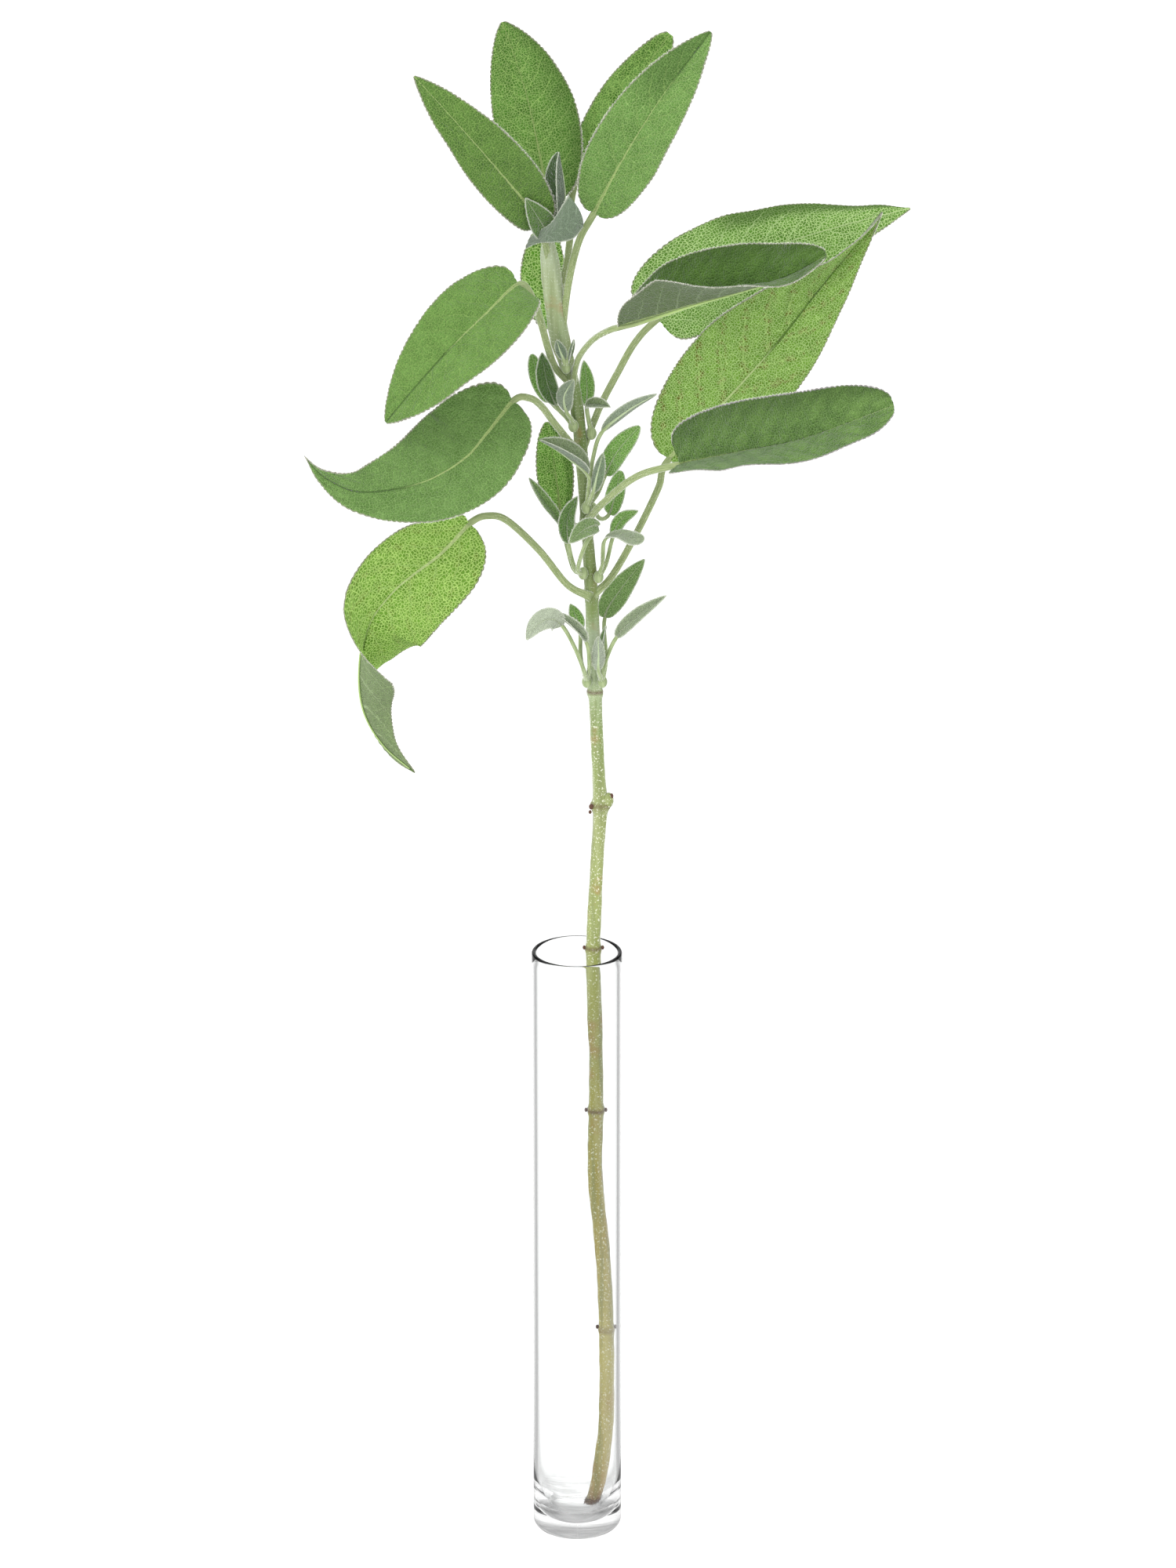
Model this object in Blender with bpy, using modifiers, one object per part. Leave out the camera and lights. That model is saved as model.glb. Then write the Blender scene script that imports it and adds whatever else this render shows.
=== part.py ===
"""Sage sprig standing in a slim glass tube vase.

One long stem of common sage leans in a clear glass tube with a thick base.  Its leaves
stand in opposite pairs, each pair turned a quarter against the next, and little shoots
of young leaves grow in their axils.  The frame is the vase's: origin at the middle of
its flat bottom, +Z up, -Y to the front.  Sizes in this script are millimetres, turned
into metres where a mesh is made.
"""

import math

import bmesh
import bpy
import numpy as np

MM = 0.001

# ------------------------------------------------------------------ driving dimensions
VASE_RADIUS = 11.0
VASE_HEIGHT = 154.0
WALL = 1.1              # glass wall, and twice the radius of its melted rim
FLOOR = 3.2             # glass under the middle of the hollow
HOLLOW_ROUND = 16.0     # height over which the hollow rounds in to its floor
HOLLOW_POWER = 3.0      # 2 would be an ellipse, more is squarer
FOOT_ROUND = 1.8        # rounding of the outer bottom edge
VASE_SIDES = 48

STEM_SIDES_LEVEL = 4    # bevel resolution, 12 sides
STEM_STEP = 6.0         # distance between the stem's rings
GAP = 0.3               # clearance between pieces that touch

BLADE_THICK = 0.7
YOUNG_THICK = 0.6
PETIOLE_RADIUS = 1.0
YOUNG_PETIOLE_RADIUS = 0.55
RIB_DEPTH = 0.6         # how far the midrib stands out under a large leaf
TOOTH_DEPTH = 0.45      # rounded teeth of a large leaf's margin
TOOTH_STEP = 2.6        # half the distance between two teeth
HEEL_RADIUS = 1.25      # the bud base that a shoot's leaves grow from
HEEL_SEAT = 0.75        # share of its radius that a heel keeps clear of the stem
CURVE_STEPS = 24        # pieces that each span of a rib is read in

# Stem centre line from the cut end up, (x, y, z).
STEM_PATH = [
    (4.1, -0.4, 5.3), (5, -0.3, 9.5), (6.5, 0, 20), (7.4, 0.4, 30.5), (7.4, 1, 53), (6.5, 2.5, 72.5),
    (4.6, 4, 93), (4.8, 4.5, 110.5), (4.8, 5, 124), (4.5, 5, 134), (4, 5.3, 152.5), (4.4, 5, 165),
    (4.9, 5, 176), (5.6, 5, 189), (5, 4, 203.5), (4.4, 3, 219), (4, 2, 231.5), (3.5, 1.5, 244),
    (3, 1, 253), (2.3, 0.5, 262.5), (1.5, 0, 271), (1.1, 0, 279.5), (0.3, 0, 288.5), (-1, 0, 296),
    (-2.3, 0, 301), (-3.7, 0, 306), (-4.8, 0, 313), (-5.8, 0, 322), (-6.4, 0, 328)]
# Stem radius against height, (z, radius), and its swollen nodes, (z, extra radius).
STEM_RADII = [(5, 1.9), (110, 1.9), (125, 1.75), (134, 1.95), (165, 1.7), (178, 1.55), (188, 1.75), (204, 1.5),
              (231, 1.65), (253, 1.45), (271, 1.15), (281, 1.5), (296, 1.6), (306, 2.2), (322, 2.45), (328, 2.2)]
STEM_NODES = [(53, 0.35), (110.5, 0.5), (152.5, 0.35), (189.5, 0.8), (219, 0.4), (244, 0.35), (262.5, 0.3)]
NODE_SPREAD = 1.1


def leaf(stalk, rib, face, width, **shape):
    """One leaf: stalk and rib points from the stem to the tip, the way its upper face
    looks at places spread evenly from base to tip, and the blade's full width."""
    values = dict(widest=0.42, tip=0.8, share=0.5, ears=0.2, lift_left=10, lift_right=10,
                  curl_left=0, curl_right=0)
    values.update(stalk=stalk, rib=rib, face=face, width=width, **shape)
    return values


# Large leaves.  widest: where along the rib the blade is broadest; tip: above 1 the tip
# is drawn out, below 1 it is blunt; share: the right half's share of the width; ears: how
# far the base lobes reach back; lift and curl: degrees by which a half rises from the
# flat at the rib, and turns further by its margin.
LEAVES = {
    "leaf_top_left": leaf(
        [(-6, -0.3, 324), (-7.2, -3.2, 330.5)],
        [(-8, -5, 335.7), (-12.7, -8, 342.4), (-20.7, -12, 353), (-28.8, -13, 362.6), (-37.2, -9, 371)],
        [(0.25, -1, 0.2), (0.2, -1, 0.25)], 15, widest=0.34, tip=0.85, lift_right=14, share=0.55, ears=1.2),
    "leaf_top_back": leaf(
        [(-6, 0.5, 324), (-6.7, 5, 330.5)],
        [(-6.8, 8, 338), (-9, 13, 350), (-12.4, 16, 364), (-17.2, 14, 379)],
        [(0.1, -1, 0.3), (-0.1, -1, 0.3)], 20, widest=0.4, tip=0.75, share=0.54, ears=1.2),
    "leaf_top_right": leaf(
        [(-3.7, 0, 305.5), (-2.2, -0.8, 318), (-0.7, -1.4, 326), (1.1, -2.4, 332)],
        [(4, -4, 337.6), (10.6, -6, 350.7), (19.7, -6, 365.5), (31, 0, 379.5)],
        [(-0.1, -1, 0.3), (-0.3, -1, 0.3)], 17.2, widest=0.36, tip=0.8, lift_left=16, lift_right=12, ears=0.2),
    "leaf_top_back_right": leaf(
        [(-4.8, 0.3, 314), (-2.4, 4.8, 322.7), (-1.4, 9, 330)],
        [(-0.3, 14, 340.5), (8, 20, 354.5), (15.8, 24, 365.5), (22, 25, 374)],
        [(0.3, -1, 0.3)], 12, widest=0.45, tip=0.55, lift_left=8, lift_right=8, ears=1),
    "leaf_upper_left": leaf(
        [(-1.2, -0.2, 296), (-4.9, -2.6, 300.6), (-6.7, -4, 306), (-8.2, -6.2, 312.3), (-10, -8.6, 318.4)],
        [(-13.2, -12, 322.9), (-20.4, -20, 318.2), (-28.7, -26, 311.3), (-36.8, -28, 302.6), (-43.8, -27, 293.8)],
        [(-0.1, -0.8, 0.6), (-0.35, -0.9, 0.3)], 21.6, widest=0.34, lift_left=14, lift_right=12, share=0.48, ears=1.2),
    "leaf_upper_behind": leaf(
        [(-1, 0.5, 295), (-2.3, 6, 300), (-3.6, 10, 303)],
        [(-5, 13, 306), (-6.5, 20, 313.5), (-7, 26, 321.5), (-6.2, 30, 329)],
        [(0.1, -1, 0.2)], 11, tip=0.7, share=0.4, ears=1),
    "leaf_upper_right": leaf(
        [(-1, -0.3, 295.5), (-0.3, -3.2, 300.8), (1.1, -6, 305), (4.4, -10.6, 309.9)],
        [(9.5, -16, 313.8), (18, -22, 318), (27.5, -28, 322.5), (37.5, -33, 326.5), (47.5, -38, 331), (56.5, -42, 337)],
        [(0, -0.5, 0.85), (-0.1, -0.7, 0.7)], 23, widest=0.4, tip=0.55, lift_left=(45, 40, 15),
        lift_right=(70, 92, 62, 25), curl_left=-10, curl_right=(-20, -20, 10)),
    "leaf_middle_left": leaf(
        [(1, -0.3, 279), (-1.6, -4, 283.1), (-5.2, -8, 288.8), (-8.3, -11, 293.8), (-10.9, -13, 296.1)],
        [(-14.4, -14.5, 296), (-20.3, -18, 289.5), (-26.2, -21, 283.5), (-36.2, -25, 279), (-49.5, -27, 277.5),
         (-57.8, -27, 281), (-63, -25, 286)],
        [(0.1, -1, 0.5), (-0.1, -1, 0.4), (-0.2, -1, 0.5)], 24.5, widest=0.3, tip=1.4, lift_left=5,
        lift_right=(5, 15, 45), share=0.54, ears=2),
    "leaf_middle_right": leaf(
        [(1.2, 0.3, 279.5), (3.9, 3.2, 285.6), (6, 6.5, 289.8), (9.6, 11, 295.6), (13.8, 16.8, 301.6)],
        [(18.9, 23, 305.5), (30.2, 30.5, 312.9), (47.2, 34, 320.5), (62.8, 37, 324.9), (80.2, 39, 329)],
        [(-0.2, -1, 0.3)], 25, widest=0.28, tip=0.95, lift_left=(0, -10, -25), curl_left=(0, -25, -40), lift_right=8,
        share=0.47, ears=2.5),
    "leaf_low_right": leaf(
        [(2.2, -0.5, 262.5), (6.5, -6, 269), (14.2, -12, 277)],
        [(23.8, -18, 281.5), (37.2, -27, 287), (52, -35, 292.5), (72.3, -42, 302.3)],
        [(0, -0.75, 0.65), (-0.1, -0.8, 0.6)], 21.4, widest=0.38, tip=0.42, lift_left=(40, 35, 15), lift_right=(48, 40, 15),
        share=0.46, ears=1),
    "leaf_low_behind": leaf(
        [(2, 0.5, 261), (-0.7, 5, 260)],
        [(-3.6, 9, 261.5), (-4.6, 13, 267.5), (-5.7, 17, 274), (-7.2, 20, 281.5)],
        [(0, -1, 0.3)], 9, widest=0.45, tip=0.7, lift_right=20, ears=0.8),
    "leaf_bottom_left": leaf(
        [(3.3, -0.3, 244), (-2.2, -2.2, 247.6), (-8.8, -4, 256.6), (-16.2, -5, 264.1), (-20.6, -6.5, 265.8)],
        [(-24.7, -8, 264.6), (-32, -9.5, 257.3), (-42, -12, 249.9), (-48.5, -15, 242), (-50.8, -16, 231.5),
         (-50.2, -15, 220.5), (-45.7, -13, 211), (-38, -12, 203.5)],
        [(0.2, -1, 0.1), (0.2, -1, 0.1), (0.25, -1, 0.1), (0.9, -0.5, 0.2), (0.6, 0.9, 0), (0.2, 1, 0)], 25.5,
        widest=0.33, tip=1.12, lift_left=(5, 5, 5, 20, 60, 50), lift_right=(5, 5, 20, 60, 60, 50),
        curl_right=(0, 0, 10, 30, 0, 0), share=0.47, ears=1.5),
    "leaf_bottom_right": leaf(
        [(3.7, 0.5, 244), (8.3, 3, 248), (14.2, 7, 257.5), (19.4, 11, 267.5)],
        [(21.7, 14, 273.5), (33.6, 17, 285.3), (46.4, 19, 299.5), (58.3, 22, 314.4), (72.4, 22.5, 332.4)],
        [(-0.3, -1, 0.2)], 26.4, widest=0.33, tip=1.1, lift_left=(5, 5, 50, 95), lift_right=5, share=0.43, ears=1.2),
}


def young(rib, face, width, stalk=(), **shape):
    """A small leaf of a shoot; its stalk runs on from the shoot's heel."""
    return leaf(list(stalk), rib, face, width, **shape)


# Shoots in the leaf axils: height and side of the stem where the heel sits, then the
# young leaves that grow from it.
SHOOTS = {
    "shoot_ring_left": ((222.5, -130), [
        young([(-3.3, -8, 238.8), (-5.4, -10, 242.3), (-8.5, -12, 242.2), (-11.6, -13, 237.6)],
              [(0.2, -1, 0.2), (-0.5, -0.6, 0.6), (-0.8, -0.6, 0.3)], 4.8, [(1.8, -3.5, 226.5), (-0.6, -6, 233.5)]),
        young([(2.2, -5.2, 234.5), (-1.8, -7.4, 239.5), (-6.2, -8.6, 242.8)],
              [(0.3, -0.9, 0.3), (-0.1, -0.5, 1)], 4,
              [(3, -3.7, 228.3)], lift_left=55, lift_right=55),
        young([(0.8, 4, 234.5), (-0.4, 6, 237.5), (-1.6, 7, 240)], [(0.2, -1, 0.3)], 3.4, [(1, 0, 228.5)])]),
    "shoot_ring_right": ((222.5, -50), [
        young([(5.2, -3.2, 226.5), (5.2, -4.2, 231), (5.1, -4.4, 235.5)], [(0, 1, 0.3)], 3.5,
              lift_left=25, lift_right=25),
        young([(6, -2.2, 228.5), (6.4, -1.4, 233), (7.1, -0.6, 237)], [(-0.9, -0.3, 0.2)], 3,
              lift_left=30, lift_right=30),
        young([(9.5, -2, 234.5), (14.3, -3, 240), (21.3, -4, 245.5)], [(-0.3, -1, 0.2)], 3.8,
              [(6.9, -2, 228.5)], widest=0.36, lift_left=15, lift_right=35),
        young([(6.7, 7, 236.5), (10.2, 9, 242.5), (16.3, 11, 250)], [(-0.3, -1, 0.2)], 6,
              [(7, 2, 228)], widest=0.33, lift_left=8, lift_right=8)]),
    "shoot_low_left": ((250, -127), [
        young([(5, -9, 264), (1.8, -12, 264), (-1.8, -15, 261.5)], [(0, -0.8, 0.5)], 4.6,
              [(0.3, -4, 252), (2.2, -8, 259.5)], widest=0.3),
        young([(-1.9, -3, 258), (-2.1, -4, 264.5), (0.3, -4, 270)], [(0.1, -1, 0.3)], 4.4,
              [(-0.4, -2, 251.5)], lift_left=15, lift_right=35),
        young([(-3.7, -1, 261.5), (-7.8, 0, 267.5), (-11.3, 1, 273)], [(0.5, -0.8, 0.3)], 3.6,
              [(-0.9, -1, 251.5)], lift_left=35, lift_right=35)]),
    "shoot_low_right": ((249, -45), [
        young([(8.6, 2.5, 258), (10.7, 3.5, 262), (14.7, 4, 264)], [(-0.3, -1, 0.3)], 3.4,
              [(7, 0.5, 252)], lift_left=15, lift_right=15),
        young([(6.7, -2.5, 259), (10.1, -5, 260.5), (13.1, -8, 260.5), (16, -9, 261)],
              [(0, -0.2, 0.9), (0.1, -0.5, 0.8), (0.2, -0.9, 0.4)], 4.2, [(6.1, -2, 253)],
              widest=0.6, tip=0.5, lift_left=15, lift_right=15)]),
    "shoot_mid_front": ((266.5, -80), [
        young([(2.5, -6, 276), (-3, -9, 281.5), (-8.7, -11, 285.5)], [(0.1, -0.3, 1)], 6.2,
              [(2.8, -4, 271.5)], share=0.6, lift_left=50, lift_right=60),
        young([(6.8, -1, 274.2), (9.8, -2, 280.4), (14.9, -2, 286.4)], [(-0.3, -1, 0.3)], 5.6,
              [(5, -2, 270)], tip=0.6),
        young([(3.9, -5, 271), (4.9, -5.6, 275.5), (6.2, -6, 281)], [(0.4, 0.9, 0.3)], 3.4,
              lift_left=30, lift_right=30),
        young([(6, -4, 285.5), (12, -5, 291), (18.8, -7, 295.5)], [(0.3, 0.8, 0.6)], 3.4,
              [(3.1, -3.2, 272.5), (3.9, -3, 279)], lift_left=30, lift_right=30)]),
    "shoot_mid_behind": ((265, 45), [
        young([(7.7, 6, 262.5), (9.2, 8, 267), (10.4, 9, 272.5)], [(0, -1, 0.3)], 4.6,
              [(5.6, 4, 262)], tip=0.5)]),
    "shoot_high_left": ((286.5, -117), [
        young([(-2.3, -5.6, 290.8), (-2.8, -7, 295), (-0.6, -7, 299)], [(0.3, 0.9, 0.2)], 4.2,
              [(-1.0, -4, 288.3)], lift_left=15, lift_right=15),
        young([(-4.7, -3, 291.5), (-6.9, -5, 298), (-8, -5, 305)], [(0.1, -1, 0.3)], 5,
              [(-2.4, -2, 288.5)], widest=0.5, lift_left=12, lift_right=35),
        young([(-6.2, 1.5, 291.5), (-9, 2.5, 297), (-10.5, 3, 302.5)], [(0, -1, 0.3)], 4.2,
              [(-2.8, -0.3, 288.5)], tip=0.5)]),
    "shoot_high_right": ((284, 0), [
        young([(2.4, 4, 289.5), (2.4, 6, 294.5), (1.7, 7, 300)], [(0.2, -1, 0.2)], 3.8, [(3, 2.2, 286)]),
        young([(2.5, -1.8, 291), (5.2, -4, 292), (8, -6, 292)], [(0.2, -0.6, 0.8)], 3.6,
              [(3, -0.4, 286.5)], lift_left=50, lift_right=20)]),
    "shoot_top_front": ((300.8, -93), [
        young([(-2.9, -4.6, 303), (-3.8, -5.2, 305.5), (-4.6, -5.2, 308)], [(0.2, 1, 0.2)], 2.8,
              lift_left=20, lift_right=20),
        young([(-2, -4.4, 303), (-1.5, -4.6, 305.5), (-0.6, -4.6, 308)], [(0.9, -0.3, 0.2)], 2.6,
              lift_left=35, lift_right=35)]),
    "tip_bud": ((330.3, None), [
        young([(-5.4, -2, 335), (-4.3, -4, 343.5), (-4, -4, 352)], [(-0.3, -0.9, 0.2)], 6.6,
              [(-6, -1, 332.8)], lift_left=20, lift_right=(75, 75, 60)),
        young([(-6.4, -6, 335.2), (-8.4, -8, 338.6), (-11.5, -9.5, 342.6)], [(0, -1, 0.2)], 6.6,
              [(-5.2, -3.6, 332.4)], lift_left=15, lift_right=15),
        young([(-8.4, -5, 332), (-4.8, -8, 333.2), (-1.6, -8.5, 335.8), (-0.2, -8, 341)],
              [(0, -1, 0.3)], 9, widest=0.5, tip=0.45)]),
}

# Material: base colour, roughness, transmission.
FINISHES = {
    "glass": ((0.95, 0.97, 0.97), 0.03, 1.0),
    "stem": ((0.36, 0.40, 0.16), 0.75, 0.0),
    "leaf": ((0.13, 0.27, 0.06), 0.8, 0.0),
    "young leaf": ((0.25, 0.36, 0.20), 0.9, 0.0),
}


# ------------------------------------------------------------------ curves and frames
def smooth_curve(points, steps=CURVE_STEPS):
    """Catmull-Rom curve through the points, each span read in `steps` pieces."""
    p = np.asarray(points, float)
    ends = np.vstack([2 * p[0] - p[1], p, 2 * p[-1] - p[-2]])
    t = np.linspace(0.0, 1.0, steps, endpoint=False)[:, None]
    spans = [0.5 * (2 * b + (c - a) * t + (2 * a - 5 * b + 4 * c - d) * t ** 2
                    + (3 * b - a - 3 * c + d) * t ** 3)
             for a, b, c, d in zip(ends[:-3], ends[1:-2], ends[2:-1], ends[3:])]
    return np.vstack(spans + [p[-1:]])


def unit(vectors):
    return vectors / np.linalg.norm(vectors, axis=-1, keepdims=True)


def spread(values, u):
    """Read at u a list of values spread evenly from 0 to 1; one value holds all along."""
    values = np.atleast_1d(np.asarray(values, float))
    return np.interp(u, np.linspace(0, 1, len(values)), values)


def distances(curve):
    return np.r_[0, np.cumsum(np.linalg.norm(np.diff(curve, axis=0), axis=1))]


def leaf_lengths(shape):
    """Length of a leaf's stalk and of its rib."""
    along = distances(smooth_curve(shape["stalk"] + shape["rib"]))
    stalk = along[len(shape["stalk"]) * CURVE_STEPS]
    return stalk, along[-1] - stalk


def leaf_frame(shape, s):
    """Centre line point, face direction and rightward direction at distance s from the
    blade's base; s is negative on the stalk."""
    curve = smooth_curve(shape["stalk"] + shape["rib"])
    stalk, blade_length = leaf_lengths(shape)
    where = distances(curve) - stalk
    slopes = unit(np.gradient(curve, where, axis=0))

    def read(rows):
        return np.stack([np.interp(s, where, rows[:, k]) for k in range(3)], -1)

    tangent = unit(read(slopes))
    looks = unit(np.asarray(shape["face"], float))
    u = np.clip(s / blade_length, 0, 1)
    face = np.stack([spread(looks[:, k], u) for k in range(3)], -1)
    face = unit(face - (face * tangent).sum(-1, keepdims=True) * tangent)
    return read(curve), face, np.cross(tangent, face)


# ------------------------------------------------------------------ leaf surfaces
def outline(q, widest, tip):
    """Half width of the blade, 1 where it is broadest: q^a (1 - q)^tip, peak at widest."""
    base = tip * widest / (1 - widest)
    return q ** base * (1 - q) ** tip / (widest ** base * (1 - widest) ** tip)


def blade_surface(shape, q, v):
    """Mid surface and normals of the blade: q from base to tip, v from -1 at the left
    margin over 0 on the rib to 1 at the right margin.  Each half is an arc whose slope
    starts at lift and turns by curl; near the base the sections swing back to the ears."""
    ear_place = 0.07
    across = np.abs(v)
    swing = shape["ears"] * (q / ear_place) * np.exp(1 - q / ear_place) * across ** 1.5
    _, rib_length = leaf_lengths(shape)
    centre, face, right = leaf_frame(shape, q * rib_length - swing)
    share = np.where(v > 0, shape["share"], 1 - shape["share"])
    half = shape["width"] * share * outline(q, shape["widest"], shape["tip"])
    lift = np.radians(np.where(v > 0, spread(shape["lift_right"], q), spread(shape["lift_left"], q)))
    curl = np.radians(np.where(v > 0, spread(shape["curl_right"], q), spread(shape["curl_left"], q)))
    curl = np.where(np.abs(curl) < 1e-4, 1e-4, curl)
    sideways = (half * (np.sin(lift + curl * across) - np.sin(lift)) / curl)[..., None]
    upward = (half * (np.cos(lift) - np.cos(lift + curl * across)) / curl)[..., None]
    side = np.sign(v)[..., None] * right
    slope = (lift + curl * across)[..., None]
    fold = np.radians(spread(shape["lift_right"], q) - spread(shape["lift_left"], q))[..., None] / 2
    on_rib = face * np.cos(fold) - right * np.sin(fold)
    normal = np.where(v[..., None] == 0, on_rib, face * np.cos(slope) - side * np.sin(slope))
    return centre + side * sideways + face * upward, normal


def leaf_rings(shape, columns, row_step, thick, petiole_radius, rib_depth, tooth, extra=0.0):
    """Rings of points from the stalk's foot to the tip.  A ring holds the upper face from
    left to right and the lower face back again.  `extra` grows the leaf all round."""
    stalk_length, rib_length = leaf_lengths(shape)
    half_ring = len(columns)
    turn = np.pi * (np.arange(half_ring) + 0.5) / half_ring
    radius = petiole_radius + extra
    foot = np.linspace(-stalk_length, -0.3, max(2, round(stalk_length / (2 * row_step)) + 1))[:, None]
    centre, face, right = leaf_frame(shape, foot + 0 * turn)
    sideways = -radius * np.cos(turn)[None, :, None] * right
    upward = radius * np.sin(turn)[None, :, None] * face
    stalk = np.concatenate([centre + sideways + upward, (centre + sideways - upward)[:, ::-1]], axis=1)

    rows = max(6, round(rib_length / row_step))
    q = 0.02 + 0.965 * (0.5 - 0.5 * np.cos(np.pi * (np.arange(rows) / (rows - 1)) ** 0.85))
    half = 0.5 * shape["width"] * outline(q, shape["widest"], shape["tip"])
    teeth = np.where(np.arange(rows) % 2, tooth, -tooth) / np.maximum(half, 3.0) + extra / half
    v = np.asarray(columns)[None, :] * (1 + teeth[:, None] * (np.abs(columns) == 1))
    surface, normal = blade_surface(shape, q[:, None] + 0 * v, v)
    _, face, _ = leaf_frame(shape, q[:, None] * rib_length + 0 * v)
    open_flat = np.clip(half / (2 * thick), 0, 1)[:, None, None]
    normal = unit(face + (normal - face) * open_flat)
    on_rib = (np.asarray(columns) == 0)[None, :, None]
    ridge = rib_depth * (1 - q)[:, None, None] * on_rib
    upper = surface + normal * (thick / 2 + extra)
    lower = surface - normal * (thick / 2 + extra + ridge)
    return np.concatenate([stalk, np.concatenate([upper, lower[:, ::-1]], axis=1)])


# ------------------------------------------------------------------ meshes and objects
def collection(name):
    group = bpy.data.collections.new(name)
    bpy.context.scene.collection.children.link(group)
    return group


def finish_material(name):
    if name in bpy.data.materials:
        return bpy.data.materials[name]
    colour, roughness, transmission = FINISHES[name]
    material = bpy.data.materials.new(name)
    material.use_nodes = True
    shader = material.node_tree.nodes["Principled BSDF"]
    shader.inputs["Base Color"].default_value = (*colour, 1)
    shader.inputs["Roughness"].default_value = roughness
    shader.inputs["Transmission Weight"].default_value = transmission
    return material


def add_object(name, mesh, group, finish=None):
    new = bpy.data.objects.new(name, mesh)
    group.objects.link(new)
    if finish:
        mesh.materials.append(finish_material(finish))
    return new


def ring_mesh(name, rings):
    """Closed skin over the rings, with the upper and lower faces cut along the same
    diagonals so that a waved blade keeps its thickness."""
    count, size = rings.shape[:2]
    skin = bmesh.new()
    rows = [[skin.verts.new(point * MM) for point in ring] for ring in rings]
    for low, high in zip(rows[:-1], rows[1:]):
        for i in range(size):
            j = (i + 1) % size
            a, b, c, d = low[i], low[j], high[j], high[i]
            if i < size // 2:
                skin.faces.new((a, b, c))
                skin.faces.new((a, c, d))
            else:
                skin.faces.new((a, b, d))
                skin.faces.new((b, c, d))
    for ring, turned in ((rows[0], True), (rows[-1], False)):
        for i in range(size // 2 - 1):
            quad = (ring[i], ring[i + 1], ring[-2 - i], ring[-1 - i])
            skin.faces.new(quad[::-1] if turned else quad)
    bmesh.ops.recalc_face_normals(skin, faces=skin.faces)
    mesh = bpy.data.meshes.new(name)
    skin.to_mesh(mesh)
    skin.free()
    return mesh


def solid_copy(source, name):
    """The object's evaluated mesh, its modifiers applied, under a new name."""
    bpy.context.view_layer.update()
    evaluated = source.evaluated_get(bpy.context.evaluated_depsgraph_get())
    mesh = bpy.data.meshes.new_from_object(evaluated)
    mesh.name = name
    return mesh


def boolean(target, operation, operand):
    """Boolean modifier with one object, or with every object of a collection."""
    cut = target.modifiers.new(operation.lower(), "BOOLEAN")
    cut.operation = operation
    cut.solver = "EXACT"
    if isinstance(operand, bpy.types.Collection):
        cut.operand_type = "COLLECTION"
        cut.collection = operand
    else:
        cut.object = operand


def as_cutter(item):
    item.hide_render = True
    item.display_type = "WIRE"
    return item


# ------------------------------------------------------------------ the vase
def vase_profile():
    """Half section from the middle of the hollow's floor, up inside, over the rim, down
    the outside and in to the middle of the bottom."""
    hollow = VASE_RADIUS - WALL
    profile = [(0.0, FLOOR)]
    for turn in np.radians(np.linspace(12, 90, 8)):
        r = hollow * math.sin(turn)
        depth = (1 - (r / hollow) ** HOLLOW_POWER) ** (1 / HOLLOW_POWER)
        profile.append((r, FLOOR + HOLLOW_ROUND * (1 - depth)))
    lip = WALL / 2
    for turn in np.radians(np.linspace(180, 0, 5)):
        profile.append((VASE_RADIUS - lip + lip * math.cos(turn), VASE_HEIGHT - lip + lip * math.sin(turn)))
    for turn in np.radians(np.linspace(0, -90, 4)):
        profile.append((VASE_RADIUS - FOOT_ROUND * (1 - math.cos(turn)), FOOT_ROUND * (1 + math.sin(turn))))
    profile.append((0.0, 0.0))
    return profile


def make_vase(group):
    mesh = bpy.data.meshes.new("vase")
    points = [(r * MM, 0, z * MM) for r, z in vase_profile()]
    mesh.from_pydata(points, [(i, i + 1) for i in range(len(points) - 1)], [])
    vase = add_object("vase", mesh, group, "glass")
    screw = vase.modifiers.new("turn", "SCREW")
    screw.steps = VASE_SIDES
    screw.render_steps = VASE_SIDES
    screw.use_merge_vertices = True
    screw.merge_threshold = 0.00001
    screw.use_smooth_shade = True


# ------------------------------------------------------------------ the stem
def stem_rings():
    """Heights, centres and radii of the stem's rings: evenly spread, with three close
    rings at each node to carry its swelling."""
    curve = smooth_curve(STEM_PATH)
    heights = list(np.arange(STEM_PATH[0][2], STEM_PATH[-1][2], STEM_STEP)) + [STEM_PATH[-1][2]]
    for z, _ in STEM_NODES:
        heights = [h for h in heights if abs(h - z) > 0.5 * STEM_STEP]
        heights += [z - 2 * NODE_SPREAD, z, z + 2 * NODE_SPREAD]
    heights = np.sort(heights)
    centres = np.stack([np.interp(heights, curve[:, 2], curve[:, k]) for k in range(3)], -1)
    radii = np.interp(heights, *np.transpose(STEM_RADII))
    for z, swelling in STEM_NODES:
        radii = radii + swelling * np.exp(-((heights - z) / NODE_SPREAD) ** 2)
    return centres, radii


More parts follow.
